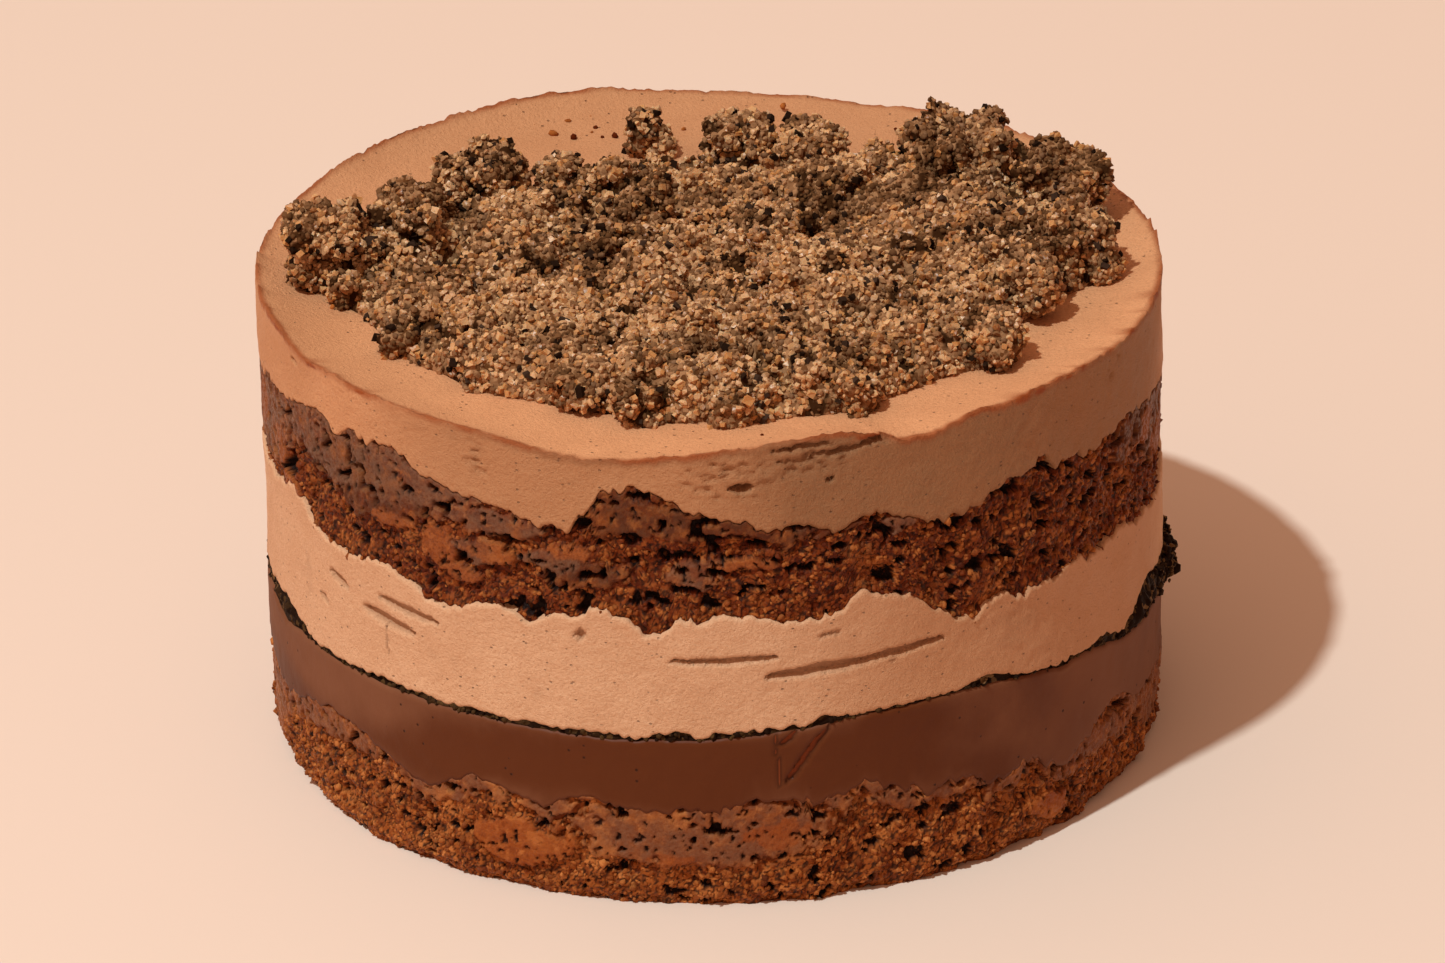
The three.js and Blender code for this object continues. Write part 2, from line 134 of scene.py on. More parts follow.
# How a side is worn in: the middle and the swing of its noise, the soft borders of its patches and strokes,
# how wide a stroke's ends are, and how near to its ends a share of the way counts
WEAR_LEVEL = (0.45, 0.9)
PATCH_BORDER = (0.55, 1.15)
STROKE_BORDER = (0.45, 1.15)
STROKE_ENDS = 0.35
SEAM_MARGIN = 0.02

# The sponge: how far it is worn in, how deep the bed lies that its crumbs are on, the sizes and heights of
# the crumbs in the bed, how far they are bent, the creases between them, its pits and fine pores, and how
# far its patches fray
SPONGE_WEAR = {"depth": 1.5, "proud": 0.3, "grain": 5.2}
CRUMB_BED = 0.75
SMOOTH_BED = 0.15
CRUMBLE = ({"size": 2.6, "height": 0.75}, {"size": 0.95, "height": 0.42})
BEND = {"size": 1.6, "reach": 0.6}
CREASE = 0.3
PORES = {"noise": ((1, 0.9, 9), (0.5, 0.45, 10)), "from": 0.52, "to": 0.74}
FRAY = ((2.4, 5, 6), (1.5, 1.5, 7))
PITS = {
    "sponge_top": {"wide": 2.6, "tall": 1.5, "depth": 1.7, "from": 0.37, "to": 0.55},
    "sponge_bottom": {"wide": 2, "tall": 1.3, "depth": 1.2, "from": 0.5, "to": 0.68},
}

# Patches of the sponge that a blade has pressed, that a neighbouring layer is smeared over, and that are
# smooth and pale: each an angle, a height, a half width in degrees and a half height
PRESSED = {
    "sponge_top": [
        (-50, 66, 14, 6), (-12, 71.5, 8, 4.6), (-2, 70, 10, 4.4), (8, 68, 6, 2.5), (-17, 60, 7, 3),
        (15, 67.5, 3, 1.5), (67, 64, 6, 5), (140, 63, 16, 5), (-130, 62, 14, 6), (175, 58, 8, 3),
    ],
    "sponge_bottom": [
        (-3, 12, 12, 3), (-78, 9, 5, 6), (120, 10, 14, 5), (-150, 11, 13, 6), (170, 8, 9, 4),
    ],
}
SMEARED = {
    "sponge_top": [
        (-79, 65, 13, 10), (-54, 70, 29, 6.5), (-30, 66, 9, 3), (-31, 60.5, 5, 2.6), (-21, 61, 4, 2.4),
        (-3, 60, 4, 3.4), (22, 66, 3, 2), (71, 67, 7, 5), (78, 64, 9, 11), (-130, 68, 20, 3),
        (150, 68, 16, 3),
    ],
    "sponge_bottom": [
        (-78, 14, 9, 6), (-62, 17, 18, 3), (-3, 13.5, 20, 7), (30, 17, 14, 3.4), (58, 12, 16, 3),
        (76, 10, 9, 5), (110, 17, 18, 3), (-120, 16, 20, 3), (175, 17, 20, 3),
    ],
}
FLAKES = {
    "sponge_top": [
        (-37, 60, 3.4, 4), (-28, 61, 4, 2), (-18, 63.5, 3.5, 1.4), (4, 62, 5, 1.2), (-71, 62, 2.5, 4),
        (-67, 57, 4, 2), (-82, 64, 4, 5), (72, 62, 3, 4), (80, 57, 5, 4), (-44, 62, 4, 1.4),
        (-33, 56, 4, 1.6), (160, 60, 8, 3),
    ],
    "sponge_bottom": [(-26, 9, 7, 5), (-6, 9, 3, 1.6), (7, 13, 5, 2.4), (47, 6, 5, 3), (200, 10, 8, 3)],
}

# How much of the layer above is wiped over the top of a sponge, and how far and how high the cake's foot is
# tucked in
WIPED = {"sponge_top": 0, "sponge_bottom": 0.85}
BASE_TUCK = 1.2
TUCK_HEIGHT = 2.5

# The loose crumbs on the sponge: the smallest radius, how much larger they get, how far one strays from the
# ball it is made of, how far past the seams they go, as a share of the height, how calm a place with crumbs
# may be, and how low the lowest one lies
SPONGE_CRUMB = {
    "least": 0.2, "more": 0.38, "dent": 0.26, "stretch": 0.4, "past": 0.04, "calm": 0.4, "lowest": 0.5,
}

# The mousse and the ganache: the relief of their skin, how ragged their strokes are, how far they are worn
# in, and the strokes, each from an angle and a height to another, with a width and a depth
SKIN = ((0.07, 2.2, 1), (0.06, 0.95, 2))
STROKE_RAG = ((0.4, 2.7, 3), (0.3, 0.85, 4))
MOUSSE_WEAR = {"depth": 0.6, "proud": 0.1, "grain": 16}
GANACHE_WEAR = {"depth": 0.4, "proud": 0.1, "grain": 24}
STROKES = {
    "mousse_middle": [
        (6.4, 42.1, 20, 43.2, 1, 1.3), (16, 42.9, 29, 44.2, 0.75, 1.1), (-5.5, 45.2, 7.3, 45.5, 0.6, 1.1),
        (-49.5, 43.4, -41, 42.2, 1.15, 1), (-46.5, 46.5, -37, 45.8, 0.9, 0.9),
        (-57, 46.3, -53.5, 45.3, 0.9, 0.8), (-59.6, 40.8, -58, 39.9, 0.6, 0.6),
        (-17.4, 49, -16.6, 49, 1.2, 0.9), (-46, 42.5, -45.6, 36, 0.3, 0.2), (22, 42, 22.4, 42, 0.5, 0.2),
        (12.5, 48.6, 15.5, 48.9, 0.4, 0.4), (128, 41, 141, 42.5, 0.8, 0.9), (-150, 44, -138, 43, 0.8, 0.8),
        (172, 46, 178, 46.4, 0.7, 0.9), (-112, 40, -108, 39.4, 0.7, 0.9),
    ],
    "mousse_top": [
        (2.2, 76, 4.4, 76, 0.8, 1.9), (13.6, 76.6, 14.4, 76.4, 0.5, 1), (-66, 80.6, -64.6, 80.2, 0.5, 0.7),
        (110, 77, 113, 77.2, 0.7, 1.4), (-160, 76, -157, 75.6, 0.7, 1.4), (18, 82.2, 27, 83, 0.5, 1.6),
        (7, 82.5, 15, 83.2, 0.45, 0.9), (11, 81.1, 24, 82.1, 0.42, 1), (8, 80.4, 14, 80.7, 0.35, 0.7),
    ],
    "ganache": [
        (8.4, 23, 13.6, 31.8, 0.75, 0.8), (7, 31.6, 7.6, 21.6, 0.28, 0.4), (7.6, 29.8, 9.6, 31.6, 0.6, 0.7),
        (-150, 24, -144, 29, 0.8, 0.6), (104, 22, 109, 25, 0.7, 0.5),
    ],
}

# Patches on the mousse and the ganache: smears of sponge, scraped places, bloom, bits of the torn rim,
# painted shade on the right of the middle mousse, where it faces away from the lamp, the top mousse's side
# browner in front and at the left and with painted shade at its right, each after its share, and a darker
# band just under the crest in front, each an angle, a height, a half width in degrees and a half height
SMEARS = {
    "mousse_middle": [
        (-21.5, 37, 2.4, 1.5), (-36.5, 40, 2.6, 1.8), (-64, 42, 2.2, 5), (40, 42, 4, 4), (100, 40, 8, 3),
    ],
    "mousse_top": [(41, 83.4, 3.4, 1), (-20, 80.6, 26, 1.1), (6, 79.5, 9, 3.4), (-172, 80, 9, 2)],
    "ganache": [],
}
SCRAPED = [
    (2, 78, 7, 4.5), (11, 80.5, 7, 3.2), (-30.3, 77.4, 2, 3.6), (60, 79, 3, 2), (150, 78, 8, 4),
    (-120, 77, 7, 4),
]
BLOOM = [(-70, 33, 46, 16), (88, 24, 60, 30), (-150, 24, 30, 14), (150, 24, 26, 14)]
RIM_BITS = [
    (41.5, 82.4, 1.8, 1), (44.5, 82.5, 1.3, 0.7), (50, 82.5, 0.8, 0.6), (53, 82.6, 0.6, 0.5),
    (60, 82.4, 1, 0.5), (66, 82.3, 1.4, 0.6), (73, 82.2, 0.8, 0.5), (78, 82.2, 1.4, 0.6), (-60, 82.3, 2, 0.5),
    (-71, 83.2, 1.4, 0.6), (-49, 82.6, 1.4, 0.4), (20, 83, 3, 0.5),
]
MIDDLE_SHADE = [(48, 40, 38, 60)]
RICH_AND_SHADE_TOP = [(0.4, (-6, 77, 46, 30)), (0.16, (-78, 77, 24, 30)), (0.75, (46, 76, 44, 30))]
UNDER_LIP = [(-4, 82, 34, 9)]

# How far from a seam a smooth layer is rounded in, and by how much at its lower and at its upper seam
SOFT_EDGE = 0.55
EDGE_CUT = {"ganache": (0.05, 0.35), "mousse_middle": (0.4, 0.4), "mousse_top": (0.5, 0.2)}

# The top of the cake: a dished surface that rises to a thin ragged lip, the radius of its last ring, how its
# rings close up towards the lip, the lip's width, how far its raggedness reaches in, how much higher than
# the crest that may go, the turns over which the lip is averaged for the dish behind it, how wide its rust
# is, where painted shade darkens the dish near the left rim, whose inner slope faces away from the lamp,
# and the faint strokes of a palette knife. Noises are a height, a size and a seed each.
DISH_HEIGHT = 80.3
DISH_EDGE = 57
DISH_CURVE = 2.7
DISH_RINGS = 46
DISH_MIDDLE = 5
DISH_CLOSER = 2.2
LIP_WIDTH = 0.3
LIP_REACH = 0.9
LIP_RISE = 0.25
LIP_AVERAGE = np.linspace(-4, 4, 13)
RUST_WIDTH = 0.8
DISH_SHADE = {"angle": -75, "width": 34, "reach": 20}
LIP_RAG = ((0.4, 1.7, 3), (0.25, 0.8, 4))
SWIRL = ((0.22, 15, 3), (0.09, 4.5, 4))

# The seam of dark crumbs: its wear and its lumps, and the loose crumbs in it, how many, which share lies
# anywhere, between which angles the others are, and where and how wide they stick out, and its tan patches
SEAM_WEAR = {"depth": 0.8, "proud": 0, "grain": 5}
SEAM_LUMP = 1.9
SEAM_CRUMBS = 900
SEAM_ANYWHERE = 0.45
SPILL = (62, 112)
SPILL_OUT = {"angle": 94, "width": 13, "reach": 3, "larger": 1.1}
TAN = [(-82, 34, 10, 9), (38, 34, 5, 5), (84, 30, 22, 20)]

# The crumb heap: its outline on the top, [x, y], and how ragged it is, its thickness and bumps, its mesh, how
# deep its edge and its foot are sunk, the depth of the loose grains on it, and the relief of its clumps
HEAP_OUTLINE = [
    (-68, 2), (-59, -12), (-52, -29), (-39, -43), (-21, -54), (-6, -60), (9, -59), (24, -56), (39, -44),
    (51, -34), (51, -23), (61, -8), (66, 8), (60, 26), (43, 37), (22, 40), (2, 41), (-16, 37), (-32, 24),
    (-48, 19), (-62, 12),
]
HEAP_CENTRE = (0, -8)
HEAP_RAG = {"height": 1.5, "waves": 7}
OUTLINE_STEPS = 24
HEAP_THICKNESS = 2.6
HEAP_BUMPS = ({"height": 4.4, "size": 11}, {"height": 2.4, "size": 4.4})
HEAP_EDGE_WIDTH = 0.09
HEAP_COLUMNS = 460
HEAP_RINGS = 80
HEAP_SUNK = 0.5
HEAP_FOOT = 2
GRAIN_DEPTH = 0.6
HEAP_CRUMBLE = ({"size": 9, "height": 4}, {"size": 4.6, "height": 3}, {"size": 1.8, "height": 0.6})
LUMP_CRUMBLE = ({"size": 4.6, "height": 2.5}, {"size": 2, "height": 0.9})

# The crevices between clumps, the hollows, each x, y, width and depth, and where there are more of the fine
# sandy crumbs or fewer, each x, y, width and how many more
CREVICE = {
    "size": 5.2, "seed": 31, "width": 0.13, "depth": 1.3, "from": -0.4, "to": 0.3, "stretch": 7,
    "bend": 2.4, "reach": 0.9,
}
CAVES = [(-26.7, 9, 4.4, 7), (49.5, 17.5, 3.4, 7), (31, -44.5, 3, 6), (-43.5, 3.5, 2.8, 6)]
CLUMPY = [(-64, -1, 10, -0.6), (42.5, 33, 9, 0.6), (54, 6, 20, 0.4), (-30, -20, 14, -0.1), (20, 10, 14, 0.3)]

# The lumps: name, x, y, the three radii and the seed of their bumps, or x, y and radius. Then their bumps,
# how much of them is sunk in the dish, how much of a block they are, how far one is turned from the next,
# their mesh, how deep a place has to lie in one to be buried, as a share of the way out, or in the heap, and
# how far inside a hollow no grain lies
LARGE_LUMPS = [
    ("lump_left", -64.3, -1, 7.2, 7, 7.4, 21), ("lump_back_left", -38, 26, 6.6, 6, 7, 22),
    ("lump_alone", -10, 52, 4.4, 4.2, 4.3, 23), ("lump_back", 5.5, 44, 6.8, 5, 5.6, 24),
    ("lump_back_right", 42.5, 33, 8.6, 7.4, 8, 25), ("lump_right_back", 59.5, 18.5, 7.2, 6.6, 7.4, 26),
    ("lump_right", 61.5, -2, 6.4, 6.8, 6.6, 27), ("lump_right_front", 52.5, -18.5, 5.4, 5.6, 5.8, 28),
]
SMALL_LUMPS = [
    (-51, 10, 6.6), (-25, 33, 4.6), (18.5, 41, 5.8), (29.5, 34, 4.6), (52.5, 35, 4.2), (-50, -29, 3.9),
    (-37, -41, 4.8), (-22, -52, 4.4), (-12, -58, 4.2), (46, -38, 4.6), (23, -55, 3.8), (3, -60, 3.6),
    (-61, -10, 3.8), (-45, -17, 5), (-8, 35, 4.2), (50, 6, 5), (38, 16, 5),
]
LUMP_BUMP = 0.32
LUMP_BUMP_SIZE = 3.4
LUMP_SINK = 0.18
SMALL_LUMP_SINK = 0.3
LUMP_BLOCK = 2.7
LUMP_TURN = 2.4
LUMP_STEP = 0.55
LUMP_FOOT = 0.3
LUMP_POLE = 86
BURIED = 0.86
BURIED_DEPTH = 2
IN_HOLLOW = 0.6

# Single crumbs and smaller clods that stand out of the heap: how many, the radius of the first and of the
# last, their depth and height as shares of it, how far out they go, how far they are lifted, the ratios
# that spread them, the seed of the first, and whether they keep out of the hollows
SCATTERED = (
    {"count": 46, "first": 3, "last": 1.2, "deep": 0.8, "tall": 0.8, "out": 0.98, "lift": 0.3,
     "spread": (0.7548776662, 0.569840291), "seed": 60, "keep_out": False},
    {"count": 90, "first": 3.1, "last": 1.3, "deep": 0.85, "tall": 0.8, "out": 1, "lift": 0,
     "spread": (0.8191725134, 0.6710436067), "seed": 160, "keep_out": True},
)

# The kinds of grains: the shares of dark specks, of sandy crumbs, of greyish ones among them, and of amber
# and round ones among the sugar, with what clumps add and what crevices add, which picks darker grains there
# as painted shade, the noises of the clumps and of the shades, and how uneven a grain is
KINDS = {
    "dark": 0.034, "dark_in_gaps": 0.05, "sandy": 0.22, "sandy_in_clumps": 0.55, "sandy_in_gaps": 0.4,
    "grey": 0.2, "grey_in_clumps": 0.45, "grey_in_gaps": 0.4, "amber": 0.13, "round": 0.5,
}
CLUMPS = ((1, 8, 4), (0.5, 3, 5))
SHADES = ((0.45, 6, 8), (0.3, 2.2, 9))
GRAIN_STRETCH = 0.3
GRAIN_DENT = 0.24

# Half the floor's width in metres
FLOOR_HALF = 20

# Loose bits on the mousse: x, y and radius
LOOSE_BITS = [
    (-38, 63.5, 0.75), (-27.6, 67.9, 0.5), (-24.2, 64.8, 0.7), (-20.2, 66.4, 0.45), (-19.4, 62.6, 0.5),
    (-18.2, 59, 0.5), (-16, 59.2, 0.75), (-26.8, 60.3, 0.75), (-23.2, 59, 0.6), (-63, -11.8, 0.7),
    (-13, 62.5, 0.4), (13.5, 69, 0.8), (-67.5, -26, 0.5), (-20, 61, 0.35), (-30, 63, 0.4), (33, 59, 0.4),
    (-4, 62, 0.4), (8, -66, 0.4),
]


def to_unsigned(value):
    """Whole numbers as wrapping 32-bit ones."""
    return np.floor(value).astype(np.int64).astype(np.uint32)


def hashed(x, y, z):
    """A repeatable number from 0 to 1 for three whole numbers: their products with large odd numbers, added,
    and their bits shifted onto each other."""
    mixed = x * np.uint32(374761393) + y * np.uint32(668265263) + z * np.uint32(1274126177)
    mixed = (mixed ^ (mixed >> np.uint32(13))) * np.uint32(1103515245)
    return (mixed ^ (mixed >> np.uint32(16))) / 4294967296


def smooth_step(value, low=0.0, high=1.0):
    """0 below low, 1 above high, and 3 t squared minus 2 t cubed between them."""
    share = np.clip((value - low) / (high - low), 0, 1)
    return share * share * (3 - 2 * share)


def noise(x, y, z):
    """Smooth noise from -1 to 1: hashed numbers at the corners of a unit grid, blended by a smooth step."""
    place = np.broadcast_arrays(*(np.asarray(value, float) for value in (x, y, z)))
    corner = [to_unsigned(value) for value in place]
    ease = [smooth_step(value - np.floor(value)) for value in place]
    total = 0
    for bits in range(8):
        step = [(bits >> axis) & 1 for axis in range(3)]
        share = 1
        for axis in range(3):
            share = share * (ease[axis] if step[axis] else 1 - ease[axis])
        total = total + share * hashed(*(corner[axis] + np.uint32(step[axis]) for axis in range(3)))
    return 2 * total - 1


def noise_at(points, size, seed=0):
    """Noise over points, with bumps of a size in millimetres. The seed tells one pattern from another."""
    return noise(*(points[..., axis] / size + NOISE_STEP * seed for axis in range(3)))


def layered(points, parts, start=0.0):
    """Noises added up on a first value: each a height, a size and a seed."""
    return sum((height * noise_at(points, size, seed) for height, size, seed in parts), start)


def cells(points, size, seed=0):
    """Cellular noise: one random point in each cube of a grid. Returns the distance to the nearest one, in
    grid sizes, how much further the second nearest is, and a number from 0 to 1 that the nearest one owns."""
    scaled = points / size + CELL_STEP * seed
    base = np.floor(scaled)
    nearest = np.full(points.shape[:-1], 9.0)
    second = nearest.copy()
    label = np.zeros(points.shape[:-1])
    for number in range(27):
        step = np.array([number % 3 - 1, number // 3 % 3 - 1, number // 9 - 1], float)
        cube = base + step
        whole = [to_unsigned(cube[..., axis]) for axis in range(3)]
        own = [hashed(*(value + np.uint32(31 * turn) for value in whole)) for turn in range(3)]
        distance = np.sqrt(sum((cube[..., axis] + own[axis] - scaled[..., axis]) ** 2 for axis in range(3)))
        closer = distance < nearest
        second = np.where(closer, nearest, np.minimum(second, distance))
        label = np.where(closer, own[0], label)
        nearest = np.where(closer, distance, nearest)
    return nearest, second - nearest, label


def turn_between(angle, other):
    """The angle between two directions round the cake, from -180 to 180."""
    return (angle - other + 180) % 360 - 180


def bell(angle, at, width):
    """A bell curve round the cake, 1 at an angle."""
    return np.exp(-((turn_between(angle, at) / width) ** 2))


def point_at(angle, radius, height):
    """Points at an angle, a radius and a height: x = r sin a, y = -r cos a."""
    turn = np.radians(angle)
    return np.stack(np.broadcast_arrays(radius * np.sin(turn), -radius * np.cos(turn), height), axis=-1)


def teeth_of(angle, seed, fine):
    """Small teeth along a seam: soft noise and sharp cusps, livelier in some stretches, with more or less of
    the finest."""
    east, south = np.sin(np.radians(angle)), np.cos(np.radians(angle))

    def along(size, turn):
        return noise(CAKE_RADIUS / size * east, CAKE_RADIUS / size * south, seed + turn)

    lively = 0.5 + 0.5 * smooth_step(along(TEETH["stretch"], 0.3), -0.3, 0.3)
    soft = 0.75 * along(TEETH["soft"], 1.1)
    cusps = 0.5 * (0.6 - 3 * np.abs(along(TEETH["cusp"], 2.2)))
    finest = 0.55 * along(TEETH["fine"], 3.3) + 0.4 * along(TEETH["finest"], 4.4)
    return lively * (soft + cusps + fine * finest)


def seam_height(name, angle, teeth=True):
    """The height of a seam: its mean and tilt, a bell curve for each swell, a slow wander behind, a fine
    raggedness, and small teeth."""
    seam = SEAMS[name]
    east, south = np.sin(np.radians(angle)), np.cos(np.radians(angle))
    height = seam["mean"] - seam["tilt"] * east
    for at, width, rise in seam["swells"]:
        height = height + rise * bell(angle, at, width)
    behind = BACK_WANDER["height"] * bool(seam["rag"]) * np.maximum(0, -south)
    height = height + behind * noise(BACK_WANDER["waves"] * east, BACK_WANDER["waves"] * south, seam["seed"])
    height = height + seam["rag"] * noise(RAG_WAVES * east, RAG_WAVES * south, seam["seed"] + 0.5)
    if teeth and seam["teeth"]:
        height = height + seam["teeth"] * teeth_of(angle, seam["seed"], seam["fine"])
    if "above" in seam:
        height = np.maximum(height, seam_height(seam["above"], angle, teeth) + seam["gap"])
    return height


def wear_of(wear, points):
    """How far a side is worn in at a point: a depth times clipped noise, less what stands proud."""
    middle, swing = WEAR_LEVEL
    level = middle + swing * noise_at(points, wear["grain"])
    return wear["depth"] * np.clip(level, 0, 1) - wear["proud"]


def patch_mask(patches, angle, height):
    """1 inside soft-edged ovals, each an angle, a height, a half width in degrees and a half height."""
    mask = np.zeros(angle.shape)
    for at, level, wide, tall in patches:
        away = np.hypot(turn_between(angle, at) / wide, (height - level) / tall)
        mask = np.maximum(mask, 1 - smooth_step(away, *PATCH_BORDER))
    return mask


def rounded(share):
    """How full something is on the way from one end to the other: the root of the sine of the way, and never
    quite 0 at the ends."""
    return np.sqrt(np.sin(np.pi * np.clip(share, SEAM_MARGIN, 1 - SEAM_MARGIN)))


def stroke_depth(strokes, angle, height):
    """How deep strokes are cut: each is a straight line from end to end on the unrolled side, narrower at its
    ends, with a rounded floor. Returns the depth and, from 0 to 1, how much of its full depth that is."""
    across = CAKE_RADIUS * math.pi / 180
    depth = np.zeros(angle.shape)
    share = np.zeros(angle.shape)
    for first, low, last, high, width, deep in strokes:
        run = np.array([(last - first) * across, high - low])
        place = np.stack([turn_between(angle, first) * across, height - low], axis=-1)
        along = np.clip((place @ run) / (run @ run), 0, 1)
        away = np.linalg.norm(place - along[..., None] * run, axis=-1)
        reach = width * (STROKE_ENDS + (1 - STROKE_ENDS) * rounded(along))
        cut = 1 - smooth_step(away / reach, *STROKE_BORDER)
        depth = np.maximum(depth, deep * cut)
        share = np.maximum(share, cut)
    return depth, share


def crumbly(place, bumps, seed):
    """A relief of crumbs outwards: for each size, one less the square of the distance to the nearest of some
    random points, times a height of its own. Noise bends the places first, so that no two crumbs are alike.
    Returns it, how much of a crease each place is, and the tone of its smallest crumb."""
    bend = [noise_at(place, BEND["size"], seed + turn) for turn in (1, 2, 3)]
    bent = place + BEND["reach"] * np.stack(bend, axis=-1)
    relief = 0
    for number, bump in enumerate(bumps):
        nearest, gap, label = cells(bent, bump["size"], seed + 5 * number)
        relief = relief + bump["height"] * ((1 - nearest ** 2) * (0.4 + 0.8 * label) - 0.5)
    return relief, 1 - smooth_step(gap, 0, CREASE), label


def wall_grid(low, high, step):
    """A grid on the cake's side between two seams, as angles, heights and shares of the way up."""
    columns = round(2 * math.pi * CAKE_RADIUS / step)
    angle = np.linspace(0, 360, columns, endpoint=False)
    bottom, top = seam_height(low, angle), seam_height(high, angle)
    rows = round(float(np.mean(top - bottom)) / step) + 1
    share = np.linspace(0, 1, rows)[:, None]
    return np.broadcast_to(angle, (rows, columns)), bottom + (top - bottom) * share, share + 0 * angle


def heart_ring(name, angle):
    """The ring inside the cake where a ragged seam has settled towards its mean."""
    height = SEAMS[name]["mean"] + HEART_SHARE * (seam_height(name, angle, False) - SEAMS[name]["mean"])
    return point_at(angle, HEART_RADIUS, height)


def new_piece(name, parts, replaced, look, smooth=True):
    """A mesh object from points in millimetres, lists of faces, each an array of one kind, and pairs of a
    name and one number for each point. It rides on the body, stands for CAD nodes and has one material."""
    points, faces, values = parts
    mesh = bpy.data.meshes.new(name)
    corners = np.concatenate([kind.ravel() for kind in faces]).astype(np.int32)
    sizes = np.concatenate([np.full(len(kind), kind.shape[1]) for kind in faces])
    starts = np.concatenate([[0], np.cumsum(sizes)[:-1]]).astype(np.int32)
    mesh.vertices.add(len(points))
    mesh.vertices.foreach_set("co", (points * MM).astype(np.float32).ravel())
    mesh.loops.add(len(corners))
    mesh.loops.foreach_set("vertex_index", corners)
    mesh.polygons.add(len(sizes))
    mesh.polygons.foreach_set("loop_start", starts)
    mesh.polygons.foreach_set("use_smooth", np.full(len(sizes), smooth))
    for label, numbers in values:
        attribute = mesh.attributes.new(label, "FLOAT", "POINT")
        attribute.data.foreach_set("value", np.asarray(numbers, np.float32).ravel())
    mesh.update(calc_edges=True)
    mesh.validate()
    mesh.materials.append(look)
    piece = bpy.data.objects.new(name, mesh)
    bpy.context.scene.collection.objects.link(piece)
    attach(piece, BODY)
    if replaced:
        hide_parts(*replaced)


def closed_grid(rings, foot, tip):
    """Points and faces of a closed skin: rings of equal length, each a row of squares above the one before,
    and a fan at each end to a point in its middle."""
    rows, columns = rings.shape[:2]
    points = np.concatenate([rings.reshape(-1, 3), [foot, tip]])
    grid = np.arange(rows * columns).reshape(rows, columns)
    right = np.roll(grid, -1, axis=1)
    squares = np.stack([grid[:-1], right[:-1], right[1:], grid[1:]], axis=-1).reshape(-1, 4)
    last = rows * columns
    below = np.stack([np.full(columns, last), right[0], grid[0]], axis=-1)
    above = np.stack([np.full(columns, last + 1), grid[-1], right[-1]], axis=-1)
    return points, [squares, np.concatenate([below, above])]


def ring_values(values, extra_low, extra_high):
    """Numbers for every point of a layer: those of its side, and 0 for the hidden rings and the two tips."""
    columns = values.shape[1]
    hidden_low, hidden_high = np.zeros((extra_low, columns)), np.zeros((extra_high, columns))
    return np.concatenate([hidden_low.ravel(), values.ravel(), hidden_high.ravel(), [0, 0]])


def add_layer(node, seams, side, look, values, extra=()):
    """A closed layer from the points of its side, with a heart ring and a middle point on each of its two
    seams, and with loose parts joined to it."""
    angle, worn, height = side
    low, high = seams
    lowest, highest = ([heart_ring(seam, angle[0])] for seam in seams)
    rings = np.concatenate([lowest, point_at(angle, CAKE_RADIUS - worn, height), highest])
    points, faces = closed_grid(rings, [0, 0, SEAMS[low]["mean"]], [0, 0, SEAMS[high]["mean"]])
    numbers = [(label, ring_values(value, 1, 1)) for label, value in values.items()]
    new_piece(node + "_layer", join_parts([(points, faces, numbers), *extra]), [node], look)


def join_parts(parts):
    """Several (points, faces, values) as one. All have the same named values."""
    points = np.concatenate([part[0] for part in parts])
    offsets = np.cumsum([0] + [len(part[0]) for part in parts])
    faces = [kind + offset for part, offset in zip(parts, offsets) for kind in part[1]]
    labels = [label for label, _ in parts[0][2]]
    values = [(label, np.concatenate([dict(part[2])[label] for part in parts])) for label in labels]
    return points, faces, values


# Grains: a small shape, many times over, each with its own size, stretch, turn and dents

@functools.lru_cache
def round_grain():
    """The 12 corners and 20 faces of an icosahedron, from the golden ratio."""
    golden = (1 + math.sqrt(5)) / 2
    corners = []
    for a in (-1, 1):
        for b in (-golden, golden):
            corners += [(0, a, b), (a, b, 0), (b, 0, a)]
    return hull_faces(np.array(corners) / math.hypot(1, golden), 1.1)


@functools.lru_cache
def block_grain():
    """The 8 corners of a cube, with 12 faces that split its squares."""
    corners = np.array([[x, y, z] for x in (-1, 1) for y in (-1, 1) for z in (-1, 1)], float) * 0.66
    squares = [(0, 1, 3, 2), (4, 6, 7, 5), (0, 4, 5, 1), (2, 3, 7, 6), (0, 2, 6, 4), (1, 5, 7, 3)]
    return corners, np.array([face for a, b, c, d in squares for face in ((a, b, c), (a, c, d))])


def hull_faces(corners, slack):
    """The triangles between corners that are one shortest edge apart, turned outwards."""
    edge = np.sort(np.linalg.norm(corners[0] - corners, axis=1))[1] * slack
    near = np.linalg.norm(corners[:, None] - corners[None], axis=2) < edge
    faces = []
    for a in range(len(corners)):
        for b in range(a + 1, len(corners)):
            for c in range(b + 1, len(corners)):
                if near[a, b] and near[b, c] and near[a, c]:
                    normal = np.cross(corners[b] - corners[a], corners[c] - corners[a])
                    faces.append((a, b, c) if normal @ corners[a] > 0 else (a, c, b))
    return corners, np.array(faces)


def random_turns(draw, count):
    """Random rotation matrices, from unit quaternions."""
    w, x, y, z = (q := draw.normal(size=(4, count))) / np.linalg.norm(q, axis=0)
    rows = [
        [1 - 2 * (y * y + z * z), 2 * (x * y - z * w), 2 * (x * z + y * w)],
        [2 * (x * y + z * w), 1 - 2 * (x * x + z * z), 2 * (y * z - x * w)],
        [2 * (x * z - y * w), 2 * (y * z + x * w), 1 - 2 * (x * x + y * y)],
    ]
    return np.array(rows).transpose(2, 0, 1)


